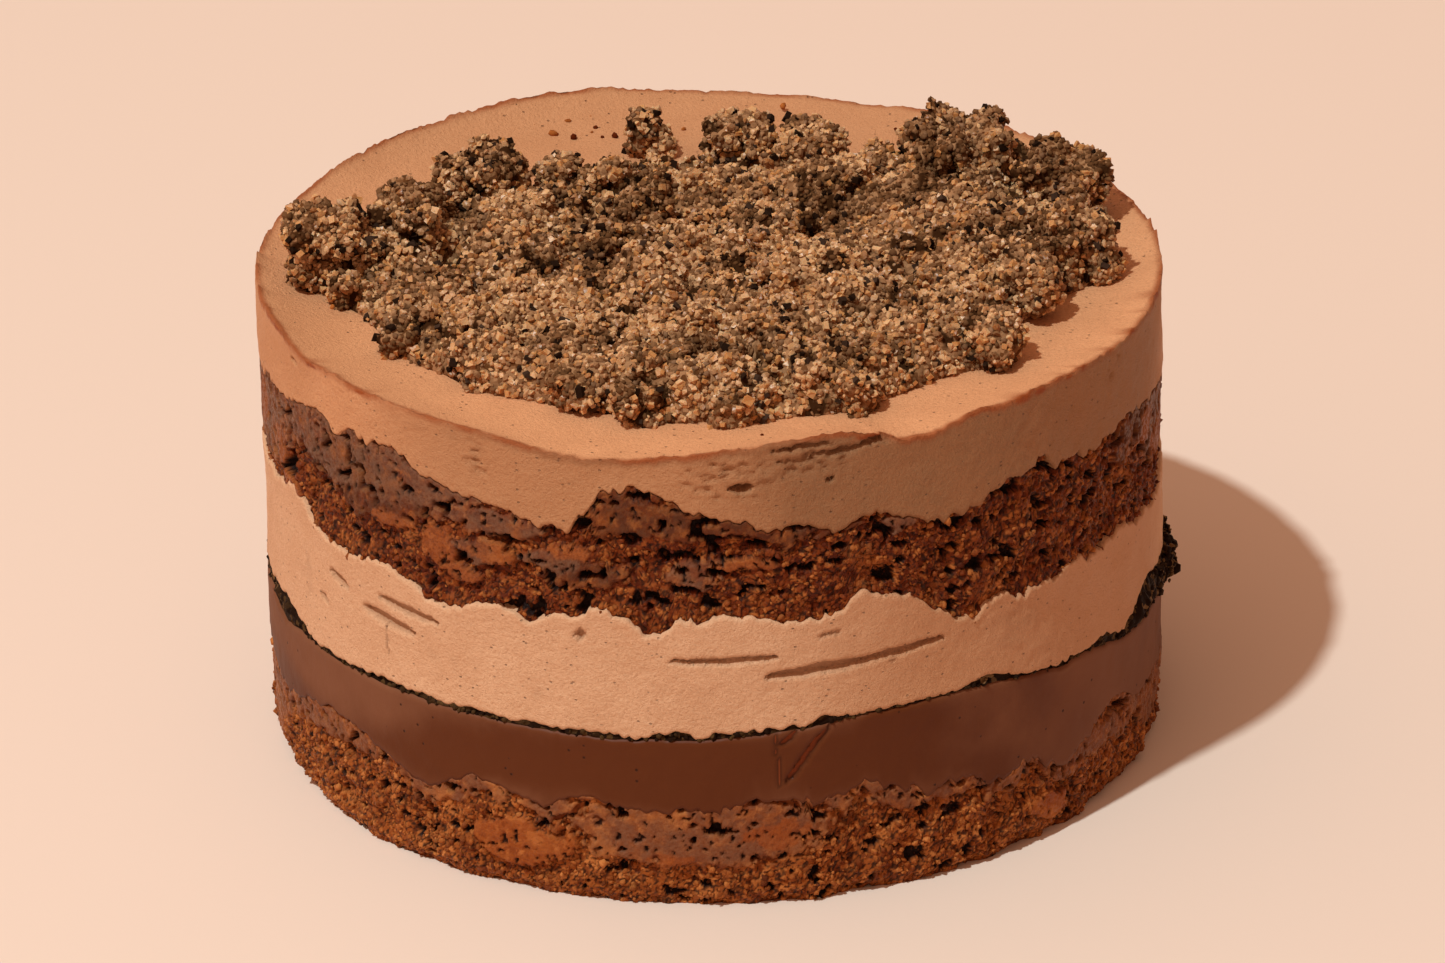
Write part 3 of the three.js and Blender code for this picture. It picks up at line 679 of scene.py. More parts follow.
def grain_parts(draw, shape, centres, radii, dent, spread, tone=None):
    """One grain of a shape at each centre. Its corners move in or out by a random dent, its three axes are
    stretched by a random spread, and it is turned at random. Each has one tone for all its points."""
    corners, faces = shape
    count, size = len(centres), len(corners)
    dents = 1 + dent * draw.normal(size=(count, size, 3)).clip(-1.6, 1.6)
    stretch = radii[:, None, None] * (1 + draw.uniform(-spread, spread, size=(count, 1, 3)))
    shaped = (corners * dents * stretch) @ random_turns(draw, count)
    points = (shaped + centres[:, None]).reshape(-1, 3)
    turned = (faces[None] + size * np.arange(count)[:, None, None]).reshape(-1, 3)
    tone = draw.random(count) if tone is None else np.clip(tone, 0, 1)
    return points, [turned], [("tone", np.repeat(tone, size))]


def spread_over(draw, points, squares, triangles, spacing):
    """Points spread over a surface, with their normals: four times as many random points as needed, by area,
    and then one kept in each cube of a grid of that spacing."""
    faces = np.concatenate([squares[:, [0, 1, 2]], squares[:, [0, 2, 3]], triangles])
    first, second, third = (points[faces[:, corner]] for corner in range(3))
    normal = np.cross(second - first, third - first)
    area = np.linalg.norm(normal, axis=1) / 2
    count = int(4 * area.sum() / spacing ** 2)
    chosen = np.searchsorted(np.cumsum(area) / area.sum(), draw.random(count)).clip(0, len(faces) - 1)
    u, v = draw.random((2, count, 1))
    u, v = np.where(u + v > 1, 1 - u, u), np.where(u + v > 1, 1 - v, v)
    place = first[chosen] + u * (second - first)[chosen] + v * (third - first)[chosen]
    cube = np.floor(place / spacing).astype(np.int64)
    key = (cube[:, 0] * 4001 + cube[:, 1]) * 4001 + cube[:, 2]
    kept = np.unique(key, return_index=True)[1]
    unit = normal[chosen] / np.maximum(2 * area[chosen, None], 1e-9)
    return place[kept], unit[kept]


# Materials

class Signal:
    """A number that varies over a surface. It wraps a socket, and arithmetic on it adds Math nodes."""

    def __init__(self, look, socket):
        self.look = look
        self.socket = socket

    def __add__(self, other):
        return self.look.math("ADD", self, other)

    def __sub__(self, other):
        return self.look.math("SUBTRACT", self, other)

    def __mul__(self, other):
        return self.look.math("MULTIPLY", self, other)


class Nodes:
    """An emptied node tree that nodes are added to."""

    def __init__(self, owner):
        owner.use_nodes = True
        self.tree = owner.node_tree
        self.tree.nodes.clear()

    def feed(self, socket, value):
        """Links a socket or a signal to a socket, or sets its own value."""
        value = value.socket if isinstance(value, Signal) else value
        if isinstance(value, bpy.types.NodeSocket):
            self.tree.links.new(value, socket)
        elif socket.type == "RGBA":
            socket.default_value = (*value[:3], 1)
        else:
            socket.default_value = value

    def node(self, kind, settings, sockets):
        """Adds a node of a kind: its settings first, then the values or links of its sockets."""
        made = self.tree.nodes.new(kind)
        for name, value in settings.items():
            setattr(made, name, value)
        for name, value in sockets.items():
            self.feed(made.inputs[name], value)
        return made


class Look(Nodes):
    """A material put together round one Principled shader, on Object coordinates in metres."""

    def __init__(self, name, fixed):
        self.material = bpy.data.materials.new(name)
        super().__init__(self.material)
        self.shader = self.node("ShaderNodeBsdfPrincipled", {}, fixed)
        self.node("ShaderNodeOutputMaterial", {}, {"Surface": self.shader.outputs[0]})
        self.place = self.node("ShaderNodeTexCoord", {}, {}).outputs["Object"]

    def math(self, operation, first, second=0.0):
        """A Math node on two numbers or signals."""
        made = self.node("ShaderNodeMath", {"operation": operation}, {0: first, 1: second})
        return Signal(self, made.outputs[0])

    def ramp(self, value, low, high, start=0.0, end=1.0):
        """A smooth step from start to end as a value goes from low to high."""
        made = self.node("ShaderNodeMapRange", {"interpolation_type": "SMOOTHSTEP"}, {
            "Value": value, "From Min": low, "From Max": high, "To Min": start, "To Max": end})
        return Signal(self, made.outputs[0])

    def mottle(self, size, detail=3.0, roughness=0.55):
        """Noise from 0 to 1 with patches of a size in millimetres."""
        made = self.node("ShaderNodeTexNoise", {}, {
            "Vector": self.place, "Scale": 1 / (size * MM), "Detail": detail, "Roughness": roughness})
        return Signal(self, made.outputs[0])

    def squashed(self, ratio):
        """The place with its height multiplied, which makes patterns flat and wide."""
        return self.node("ShaderNodeMapping", {"vector_type": "POINT"}, {
            "Vector": self.place, "Scale": (1, 1, ratio)}).outputs[0]

    def grains(self, size, output="Distance", vector=None):
        """Cellular noise with grains of a size in millimetres."""
        made = self.node("ShaderNodeTexVoronoi", {}, {
            "Vector": vector or self.place, "Scale": 1 / (size * MM)})
        return made.outputs[output]

    def value(self, name):
        """A number that the mesh carries."""
        made = self.node("ShaderNodeAttribute", {"attribute_name": name}, {})
        return Signal(self, made.outputs["Fac"])

    def blend(self, factor, first, second, how="MIX"):
        """Two colours blended by a factor."""
        made = self.node("ShaderNodeMix", {"data_type": "RGBA", "blend_type": how}, {
            0: factor, 6: first, 7: second})
        return made.outputs[2]

    def bump(self, height, depth, strength=1.0, under=None):
        """A bump of a depth in millimetres, on top of another."""
        sockets = {"Height": height, "Distance": depth * MM, "Strength": strength}
        if under is not None:
            sockets["Normal"] = under
        return self.node("ShaderNodeBump", {}, sockets).outputs[0]

    def finish(self, colour=None, roughness=None, normal=None):
        """Feeds the shader and returns the material."""
        for name, value in (("Base Color", colour), ("Roughness", roughness), ("Normal", normal)):
            if value is not None:
                self.feed(self.shader.inputs[name], value)
        return self.material


def mousse_look(name, colours):
    """Whipped chocolate cream: matt, faintly mottled, with a stippled skin, tiny flat pores darkened as
    painted shade, painted shade in its strokes and scraped patches, and the brown of its neighbours wiped in.
    Its rich value says how far it goes from its light to its rich colour, which stands both for browner
    patches and for painted shade."""
    look = Look(name, {"Roughness": 0.62, "Specular IOR Level": 0.22})
    wide, fine = look.mottle(9, 4), look.mottle(0.5, 3, 0.75)
    flat = look.squashed(1.5)
    speck = look.ramp(look.grains(1.5, vector=flat), 0.19, 0.09) * look.ramp(
        look.grains(1.5, "Color", flat), 0.6, 0.7)
    light, rich_and_shade, dark, rust = colours
    tone = look.blend(look.value("rich_and_shade"), light, rich_and_shade)
    tone = look.blend(look.ramp(wide, 0.3, 0.72, 0, 0.2), tone, dark)
    tone = look.blend(look.ramp(fine, 0.42, 0.66, 0, 0.3), tone, dark)
    # painted shade: the pores are darkened
    tone = look.blend(speck * 0.6, tone, [0.35 * part for part in dark])
    # painted shade in the strokes and scraped patches, and the darker brown of smears
    tone = look.blend(look.value("stroke_shade_and_smear") * 0.5, tone, [0.4 * part for part in dark])
    tone = look.blend(look.value("rust"), tone, rust)
    skin = look.bump(look.mottle(0.75, 4, 0.75), 0.42)
    rough = look.ramp(wide, 0.2, 0.8, 0.55, 0.7)
    return look.finish(tone, rough, look.bump(fine * 0.7 - speck, 0.22, under=skin))


def sponge_look(name, colours, smear_colour, pit):
    """Moist sponge: red-brown, each crumb of its own tone and finely pitted, darkened nearly to black as
    painted shade in its pits, the creases between its crumbs and its pores, duller where a blade has pressed
    it or smeared the next layer over it, and with small moist glints."""
    look = Look(name, {"Specular IOR Level": 0.16})
    middle, light, dark, pressed_colour, flake_colour = colours
    own = look.value("tone")
    tone = look.blend(look.ramp(own, 0, 0.5), dark, middle)
    tone = look.blend(look.ramp(own, 0.5, 1), tone, light)
    dull = look.ramp(look.mottle(3, 5, 0.6), 0.3, 0.65, 0.35, 0.9)
    tone = look.blend(look.value("pressed") * dull, tone, pressed_colour)
    tone = look.blend(look.value("smear") * dull, tone, smear_colour)
    tone = look.blend(look.value("flake") * dull, tone, flake_colour)
    tone = look.blend(look.ramp(look.mottle(0.5, 4, 0.62), 0.46, 0.72, 0, 0.6), tone, dark)
    tone = look.blend(look.ramp(look.mottle(7, 3), 0.5, 0.75, 0, 0.5), tone, light)
    # painted shade: the pits, the creases between crumbs and the pores turn nearly black
    tone = look.blend(look.ramp(look.value("pit"), 0.1, 0.9), tone, pit)
    rough = look.ramp(look.grains(0.5, "Color"), 0.35, 0.75, 0.4, 0.85)
    return look.finish(tone, rough, look.bump(look.mottle(0.6, 5, 0.7), 0.34))


def ganache_look(colours):
    """Set ganache: a smooth dark brown with a dull bloom towards its edges and a few pinholes, with painted
    shade in the pinholes and in its scratches.
    """
    look = Look("ganache", {"Specular IOR Level": 0.14})
    edge = look.value("edge")
    dull = look.ramp(edge + (look.mottle(14, 4) - 0.5) * 1.1, 0.2, 1.15)
    tone = look.blend(dull, colours.ganache, colours.ganache_bloom)
    holes = look.ramp(look.grains(2.4), 0.14, 0.07) * look.ramp(look.grains(2.4, "Color"), 0.62, 0.68)
    dark = [0.3 * part for part in colours.ganache]
    # painted shade in the pinholes
    tone = look.blend(holes * 0.9, tone, dark)
    # painted shade in the scratches, whose deepest part takes the gouge colour
    tone = look.blend(look.value("stroke_shade_and_smear") * 0.75, tone, dark)
    tone = look.blend(look.ramp(look.value("stroke_shade_and_smear"), 0.6, 1, 0, 0.8), tone, colours.gouge)
    shape = look.bump(look.mottle(1.6, 4, 0.6) - holes, 0.1, 0.8)
    return look.finish(tone, look.ramp(dull, 0, 1, 0.5, 0.68), shape)


def film_look(colours):
    """The seam of dark crumbs: nearly black, with olive and brown bits and wet glints."""
    look = Look("dark_cookie", {"Specular IOR Level": 0.06})
    own = look.grains(1.1, "Color")
    tone = look.blend(look.ramp(own, 0.5, 0.85), colours.cookie, colours.cookie_olive)
    tone = look.blend(look.ramp(look.value("tone"), 0.72, 0.95, 0, 0.8), tone, colours.cookie_olive)
    spilt = look.blend(look.ramp(own, 0.55, 0.8), colours.cookie, colours.cookie_tan)
    tone = look.blend(look.value("spill"), tone, spilt)
    rough = look.ramp(look.grains(0.8, "Color"), 0.3, 0.75, 0.6, 0.95)
    return look.finish(tone, rough, look.bump(look.mottle(0.7, 4, 0.65), 0.3, 0.8))


def grain_look(name, light, dark, roughness, glow, pattern=0.5):
    """A grain: its own tone between two colours, a fine mottle, and some light through it."""
    fixed = {"Specular IOR Level": 0.4 if glow else 0.04}
    if glow:
        fixed["Subsurface Weight"] = glow
        fixed["Subsurface Radius"] = (1, 0.6, 0.35)
        fixed["Subsurface Scale"] = 0.5 * MM
    look = Look(name, fixed)
    tone = look.blend(look.ramp(look.value("tone"), 0, 1), light, dark)
    tone = look.blend(look.ramp(look.mottle(0.6, 3), 0.42, 0.7, 0, pattern), tone, dark)
    rough = look.ramp(look.mottle(0.6, 2), 0.35, 0.65, roughness, roughness + 0.25)
    return look.finish(tone, rough, look.bump(look.mottle(0.4, 3, 0.6), 0.1, 0.7))


def core_look(colours):
    """What shows between the loose grains of the heap, darkened as painted shade in its crevices and hollows.
    """
    look = Look("crumb_bed", {"Roughness": 0.9, "Specular IOR Level": 0.04})
    tone = look.blend(look.ramp(look.grains(0.8, "Color"), 0.2, 0.8), colours.bed, colours.clump)
    tone = look.blend(look.ramp(look.mottle(5), 0.5, 0.75, 0, 0.5), tone, colours.grey_clump_dark)
    # painted shade in the crevices and hollows
    tone = look.blend(look.ramp(look.value("crevice_shade"), 0.15, 0.7), tone, colours.crevice_shade)
    return look.finish(tone, None, look.bump(look.mottle(0.6, 4, 0.65), 0.3, 0.9))


def floor_look(colour):
    """Matt paper with a faint tooth."""
    look = Look("matt_floor", {"Roughness": 0.9, "Specular IOR Level": 0.1})
    return look.finish(colour, None, look.bump(look.mottle(1.2, 3), 0.02, 0.5))


# The layers

def sponge_surface(name, angle, height, share):
    """How far the sponge is worn in at places on its side, and what its material reads there: how much
    painted shade its pits, the creases between its crumbs and its pores get, how pressed, smeared and flaky
    it is, and its tone. Its bed is worn by noise, less so at its seams, and crumbly, with flat pits. Where it
    is pressed, smeared or flaky it comes nearly flush and has only small pores."""
    place, pit = point_at(angle, CAKE_RADIUS, height), PITS[name]
    flat = place * [1, 1, pit["wide"] / pit["tall"]]
    broad = wear_of(SPONGE_WEAR, place) * rounded(share)
    relief, crease, tone = crumbly(place, CRUMBLE, 3)
    level = noise_at(flat, pit["wide"], 4) + 0.45 * noise_at(place, 0.4 * pit["wide"], 5)
    pits = smooth_step(level, pit["from"], pit["to"])
    ragged = layered(place, FRAY)
    crumb = 0.5 * (tone - 0.5)

    def frayed(patches, around, upwards):
        return patch_mask(patches[name], angle + around * ragged, height + upwards * ragged)

    wiped = WIPED[name] * smooth_step(share + 0.1 * ragged, 0.84, 0.98)
    pressed = smooth_step(frayed(PRESSED, 1, 0.7) + crumb, 0.25, 0.75)
    smeared = smooth_step(np.maximum(frayed(SMEARED, 1, 0.5), wiped) + crumb, 0.3, 0.75)
    flaked = smooth_step(frayed(FLAKES, 0.7, 0.4) + crumb, 0.3, 0.6)
    pores = smooth_step(layered(place, PORES["noise"]), PORES["from"], PORES["to"])
    calm = np.maximum(np.maximum(pressed, smeared) * (1 - pits), flaked)
    pits = pits * (1 - 0.9 * flaked)
    rough = CRUMB_BED + broad - relief + pit["depth"] * pits
    smooth = SMOOTH_BED + 0.25 * broad - 0.16 * relief + 0.6 * pores - 0.1 * wiped
    worn = rough + (smooth - rough) * calm
    if name == "sponge_bottom":
        uneven = 1 + 0.6 * noise_at(place, SPONGE_WEAR["grain"])
        worn = worn + BASE_TUCK * (1 - smooth_step(height, 0, TUCK_HEIGHT)) * uneven
    # painted shade in the pits, in the creases between crumbs and in the pores
    pit_shade = np.clip(pits + 0.75 * crease * (1 - calm) + 0.8 * pores * calm, 0, 1)
    bare = 1 - pits
    return worn, {
        "pit": pit_shade, "pressed": pressed * bare, "smear": smeared * bare, "flake": flaked, "tone": tone}


def sponge_crumbs(draw, name, low, high, spacing):
    """Loose crumbs on the bed of a sponge: one in each cell of a grid on its side that reaches a little past
    its seams, at a random place in the cell, half sunk in the bed, fewer in the pits and none where it is
    smooth."""
    columns = round(2 * math.pi * CAKE_RADIUS / spacing)
    ring = np.linspace(0, 360, columns, endpoint=False)
    bottom, top = seam_height(low, ring), seam_height(high, ring)
    rows = round(float(np.mean(top - bottom)) / spacing)
    cell = np.arange(rows)[:, None] + draw.uniform(0, 1, (rows, columns))
    past = SPONGE_CRUMB["past"]
    share = (cell / rows * (1 + 2 * past) - past).ravel()
    angle = (ring + draw.uniform(0, 360 / columns, (rows, columns))).ravel()
    height = np.tile(bottom, rows) * (1 - share) + np.tile(top, rows) * share
    worn, values = sponge_surface(name, angle, height, share)
    calm = np.maximum(values["flake"], np.maximum(values["pressed"], values["smear"]))
    kept = (calm < SPONGE_CRUMB["calm"]) & (draw.random(len(worn)) > 0.5 * values["pit"])
    kept &= height > SPONGE_CRUMB["lowest"]
    angle, height, worn = angle[kept], height[kept], worn[kept]
    place = point_at(angle, CAKE_RADIUS, height)
    radii = SPONGE_CRUMB["least"] + SPONGE_CRUMB["more"] * draw.random(len(angle)) ** 1.7
    radii = radii * (1 + 0.25 * noise_at(place, 4, 2))
    centres = point_at(angle, CAKE_RADIUS - worn + draw.uniform(-0.6, 0.1, len(angle)) * radii, height)
    centres[:, 2] = np.maximum(centres[:, 2], radii)
    tone = 0.5 + 0.4 * noise_at(place, 3, 3) + 0.25 * draw.normal(size=len(angle))
    dent, stretch = SPONGE_CRUMB["dent"], SPONGE_CRUMB["stretch"]
    points, faces, made = grain_parts(draw, round_grain(), centres, radii, dent, stretch, tone)
    # the crumbs take part of the painted pit shade and of the patches they lie on
    for label in ("pit", "pressed", "smear", "flake"):
        made.append((label, np.repeat(0.6 * values[label][kept], len(points) // len(angle))))
    return points, faces, made


def smooth_side(name, low, high, step, wear):
    """The side of a smooth layer: worn in a little by slow noise, rounded in at its seams, with strokes and
    scraped patches cut into it. The mark it returns says how much of a stroke's depth there is, which the
    material darkens as painted shade, or of a smear's colour."""
    angle, height, share = wall_grid(low, high, step)
    place = point_at(angle, CAKE_RADIUS, height)
    worn = wear_of(wear, place) * np.sqrt(np.sin(np.pi * share))
    worn = layered(place, SKIN if name != "ganache" else SKIN[:1], worn)
    torn = 1 if name == "mousse_top" else 0.5
    ragged = height + torn * layered(place, STROKE_RAG)
    depth, stroke_shade_and_smear = stroke_depth(STROKES[name], angle + 0.4 * torn * noise_at(place, 1.1, 8), ragged)
    smear = patch_mask(SMEARS[name], angle, height) * smooth_step(noise_at(place, 2.4, 5), -0.6, 0.7)
    low_edge = np.clip(1 - (height - height[0]) / SOFT_EDGE, 0, 1)
    high_edge = np.clip(1 - (height[-1] - height) / SOFT_EDGE, 0, 1)
    low_cut, high_cut = EDGE_CUT[name]
    worn = worn + depth + low_cut * low_edge ** 2 + high_cut * high_edge ** 2
    return angle, height, worn, np.maximum(stroke_shade_and_smear, 0.3 * smear), place, share


class Undoable:
    """What the operators share"""

    bl_options = {"REGISTER", "UNDO"}


class CAKE_OT_add_sponges(Undoable, bpy.types.Operator):
    """Adds both layers of sponge, each a bed with loose crumbs on it"""

    bl_idname = "cake.add_sponges"
    bl_label = "Sponges"

    def execute(self, context):
        colours = context.scene.cake_colours
        spacing = context.scene.cake_sizes.sponge_crumb / MM
        draw = np.random.default_rng(DRAWS["sponge"])
        for node, seams, prefix, smear in (
            ("sponge_bottom", ("base", "sponge_to_ganache"), "sponge_low", colours.ganache_bloom),
            ("sponge_top", ("mousse_to_sponge", "sponge_to_mousse"), "sponge", colours.sponge_smear),
        ):
            own = [getattr(colours, prefix + kind) for kind in ("", "_light", "_dark", "_pressed", "_flake")]
            look = sponge_look(node + "_crumb", own, smear, colours.sponge_pit_shade)
            angle, height, share = wall_grid(*seams, SPONGE_STEP)
            worn, values = sponge_surface(node, angle, height, share)
            add_layer(node, seams, (angle, worn, height), look, values)
            new_piece(node + "_crumbs", sponge_crumbs(draw, node, *seams, spacing), [], look)
        return {"FINISHED"}


class CAKE_OT_add_ganache(Undoable, bpy.types.Operator):
    """Adds the layer of ganache"""

    bl_idname = "cake.add_ganache"
    bl_label = "Ganache"

    def execute(self, context):
        seams = ("sponge_to_ganache", "ganache_to_crumbs")
        angle, height, worn, stroke_shade_and_smear, place, share = smooth_side("ganache", *seams, GANACHE_STEP, GANACHE_WEAR)
        near_seams = 0.5 * (1 - 4 * share * (1 - share))
        edge = np.maximum(near_seams, patch_mask(BLOOM, angle, height)) + 0.25 * noise_at(place, 7, 5)
        values = {"stroke_shade_and_smear": stroke_shade_and_smear, "edge": np.clip(edge, 0, 1)}
        add_layer("ganache", seams, (angle, worn, height),
                  ganache_look(context.scene.cake_colours), values)
        return {"FINISHED"}


class CAKE_OT_add_dark_crumbs(Undoable, bpy.types.Operator):
    """Adds the thin seam of dark crumbs, and the crumbs that stick out of it, most of them at the right"""

    bl_idname = "cake.add_dark_crumbs"
    bl_label = "Dark crumbs"

    def loose(self, low, high):
        """Crumbs in the seam: nearly half of them anywhere round it, and the others where they spill out,
        which is a bell curve round one side."""
        draw, count = np.random.default_rng(DRAWS["dark_crumbs"]), SEAM_CRUMBS
        anywhere = draw.random(count) < SEAM_ANYWHERE
        turn = np.where(anywhere, draw.uniform(0, 360, count), draw.uniform(*SPILL, count))
        floor_line, roof_line = seam_height(low, turn), seam_height(high, turn)
        level = floor_line + (roof_line - floor_line) * draw.random(count)
        out = bell(turn, SPILL_OUT["angle"], SPILL_OUT["width"])
        size = draw.uniform(0.22, 0.6, count) * (1 + SPILL_OUT["larger"] * out * draw.random(count))
        radius = CAKE_RADIUS - 0.45 + out * draw.uniform(0, SPILL_OUT["reach"], count)
        centres = point_at(turn, radius, level)
        points, faces, made = grain_parts(draw, round_grain(), centres, size, 0.16, GRAIN_STRETCH)
        tan = np.repeat(patch_mask(TAN, turn, level), len(points) // count)
        return points, faces, made + [("spill", tan)]

    def execute(self, context):
        seams = ("ganache_to_crumbs", "crumbs_to_mousse")
        angle, height, share = wall_grid(*seams, SEAM_STEP)
        place = point_at(angle, CAKE_RADIUS, height)
        nearest, _, label = cells(place, SEAM_LUMP, 2)
        thick = smooth_step(height[-1] - height[0], 1.5, 4)
        lumps = (1 - nearest ** 2) * (0.2 + 1.2 * thick) * (0.4 + label)
        worn = 0.35 + wear_of(SEAM_WEAR, place) * np.sin(np.pi * share) - lumps * np.sin(np.pi * share)
        values = {"tone": 0 * worn, "spill": patch_mask(TAN, angle, height)}
        add_layer("dark_crumbs", seams, (angle, worn, height),
                  film_look(context.scene.cake_colours), values, [self.loose(*seams)])
        return {"FINISHED"}


class CAKE_OT_add_mousse(Undoable, bpy.types.Operator):
    """Adds both layers of mousse: the middle one, and the top one with its lip and dish"""

    bl_idname = "cake.add_mousse"
    bl_label = "Mousse"

    def middle(self, colours):
        """A smooth layer, with painted shade at the right, where its side faces away from the lamp."""
        seams = ("crumbs_to_mousse", "mousse_to_sponge")
        angle, height, worn, stroke_shade_and_smear, _, _ = smooth_side("mousse_middle", *seams, MOUSSE_STEP, MOUSSE_WEAR)
        look = mousse_look("mousse", (colours.mousse, colours.mousse_dark_and_shade, colours.mousse_dark_and_shade, colours.rust))
        # painted shade on the right, away from the lamp
        values = {"stroke_shade_and_smear": stroke_shade_and_smear, "rich_and_shade": 0.7 * patch_mask(MIDDLE_SHADE, angle, height), "rust": 0 * stroke_shade_and_smear}
        add_layer("mousse_middle", seams, (angle, worn, height), look, values)

    def top(self, colours, dish):
        """Its side, then over a torn crest and down a hollow curve, a power of the way in, to the flat of the
        dish, which has faint strokes of a palette knife. Rust lies on the crest and a little below it."""
        low, high = "sponge_to_mousse", "lip"
        angle, height, worn, stroke_shade_and_smear, place, _ = smooth_side("mousse_top", low, high, MOUSSE_STEP, MOUSSE_WEAR)
        streaks = smooth_step(noise_at(place * [1, 1, 1.7], 1.5, 6), -0.3, 0.3)
        scraped = patch_mask(SCRAPED, angle, height) * streaks
        worn = worn + scraped * (0.25 + 0.5 * noise_at(place * [1, 1, 1.6], 0.95, 7))
        side = point_at(angle, CAKE_RADIUS - worn, height)
        ring, crest = angle[0], height[-1]
        shoulder = CAKE_RADIUS - worn[-1]
        inward = np.linspace(0, 1, DISH_RINGS)[1:, None] ** DISH_CLOSER
        radius = shoulder * (1 - inward) + DISH_MIDDLE * inward
        plain = point_at(ring, radius, dish)
        even = np.mean([seam_height(high, ring + turn, False) for turn in LIP_AVERAGE], axis=0)
        rise = np.clip((radius - DISH_EDGE) / (shoulder - LIP_WIDTH - DISH_EDGE), 0, 1) ** DISH_CURVE
        near = np.exp(-(shoulder - radius) / LIP_REACH)
        lively = smooth_step(noise_at(plain, 11, 6), -0.1, 0.4)
        torn = (crest - even) + lively * layered(plain, LIP_RAG)
        level = dish + (even - dish) * rise + near * torn + layered(plain, SWIRL) * (1 - near)
        level = np.minimum(level, crest + LIP_RISE)
        rings = np.concatenate([[heart_ring(low, ring)], side, point_at(ring, radius, level)])
        points, faces = closed_grid(rings, [0, 0, SEAMS[low]["mean"]], [0, 0, dish])
        lively = 0.5 + 0.7 * noise_at(plain, 5, 5)
        crest_line = np.clip((1.6 - (shoulder - radius) / RUST_WIDTH) * (lively + 0.3), 0, 1)
        below = np.clip((1.4 - (crest - height) / RUST_WIDTH) * (0.8 + 0.7 * noise_at(place, 5, 5)), 0, 1)
        bits = patch_mask(RIM_BITS, angle, height)
        # browner patches in front and at the left, and painted shade at the right, away from the lamp
        rich_and_shade = sum((most * patch_mask([patch], angle, height) for most, patch in RICH_AND_SHADE_TOP), 0.2)
        under = np.clip(1 - (crest - height) / 1.6, 0, 1) * patch_mask(UNDER_LIP, angle, height)
        # painted shade on the dish near the left rim, whose inner slope faces away from the lamp
        inner = np.clip(1.4 - (shoulder - radius) / DISH_SHADE["reach"], 0, 1)
        left_rim_shade = bell(ring, DISH_SHADE["angle"], DISH_SHADE["width"]) * inner
        # the dish is also browner near the lip and darker towards the back
        values = {
            "stroke_shade_and_smear": (np.maximum(stroke_shade_and_smear, 0.3 * scraped), 0 * crest_line),
            "rich_and_shade": (np.clip(rich_and_shade + 0.4 * under, 0, 1),
                     0.2 * near + 0.2 * left_rim_shade + 0.34 * smooth_step(plain[..., 1], 10, 60)),
            "rust": (np.maximum(0.85 * below, bits),
                     np.maximum(0.85 * crest_line, bits[-1] * np.exp(-0.6 * (shoulder - radius)))),
        }
        carried = [(label, ring_values(np.concatenate(both), 1, 0)) for label, both in values.items()]
        look = mousse_look("mousse_brown", (
            colours.mousse_top, colours.mousse_top_rich_and_shade, colours.mousse_top_dark, colours.rust))
        new_piece("mousse_top_layer", (points, faces, carried), ["mousse_top"], look)

    def execute(self, context):
        self.middle(context.scene.cake_colours)
        self.top(context.scene.cake_colours, context.scene.cake_sizes.dish_height / MM)
        return {"FINISHED"}


# The heap

@functools.lru_cache
def heap_rim():
    """The heap's outline as angles and radii round its centre, in order of angle: a closed Catmull-Rom curve,
    each piece a cubic of the four points round it."""
    outline = np.array(HEAP_OUTLINE, float) - HEAP_CENTRE
    before, start, end, after = (np.roll(outline, shift, axis=0) for shift in (1, 0, -1, -2))
    t = np.linspace(0, 1, OUTLINE_STEPS, endpoint=False)[:, None, None]
    curve = 0.5 * (2 * start + (end - before) * t + (2 * before - 5 * start + 4 * end - after) * t ** 2
                   + (3 * start - before - 3 * end + after) * t ** 3)
    curve = curve.reshape(-1, 2)
    angle = np.degrees(np.arctan2(curve[:, 0], -curve[:, 1]))
    order = np.argsort(angle)
    return angle[order], np.linalg.norm(curve, axis=1)[order]


def heap_radius(angle):
    """The radius of the outline at an angle, with a little raggedness."""
    turn, waves = np.radians(angle), HEAP_RAG["waves"]
    ragged = HEAP_RAG["height"] * noise(waves * np.sin(turn), -waves * np.cos(turn), 9)
    return np.interp(angle, *heap_rim(), period=360) + ragged


def heap_share(x, y):
    """How far out a point is, from 0 at the heap's centre to 1 at its edge."""
    across, along = x - HEAP_CENTRE[0], y - HEAP_CENTRE[1]
    return np.hypot(across, along) / heap_radius(np.degrees(np.arctan2(across, -along)))


def heap_height(x, y, share):
    """The height of the heap: an even bed with wide and narrow bumps, falling off at the edge."""
    def lift(bump):
        return bump["height"] * (0.5 + 0.5 * noise(x / bump["size"], y / bump["size"], bump["size"]))
    edge = smooth_step(1 - share, -HEAP_EDGE_WIDTH / 2, HEAP_EDGE_WIDTH)
    top = sum((lift(bump) for bump in HEAP_BUMPS), HEAP_THICKNESS)
    return DISH_HEIGHT + edge * np.maximum(top - hollow(x, y)[0], 0.5)


def hollow(x, y):
    """How deep the hollows in the heap are at a place, and from 0 to 1 how far inside one it is, as bell
    curves."""
    depth, inside = np.zeros(np.shape(x)), np.zeros(np.shape(x))
    for at, along, width, deep in CAVES:
        away = (np.square(x - at) + np.square(y - along)) / width ** 2
        depth = np.maximum(depth, deep * np.exp(-away ** 2))
        inside = np.maximum(inside, np.exp(-away))
    return depth, inside


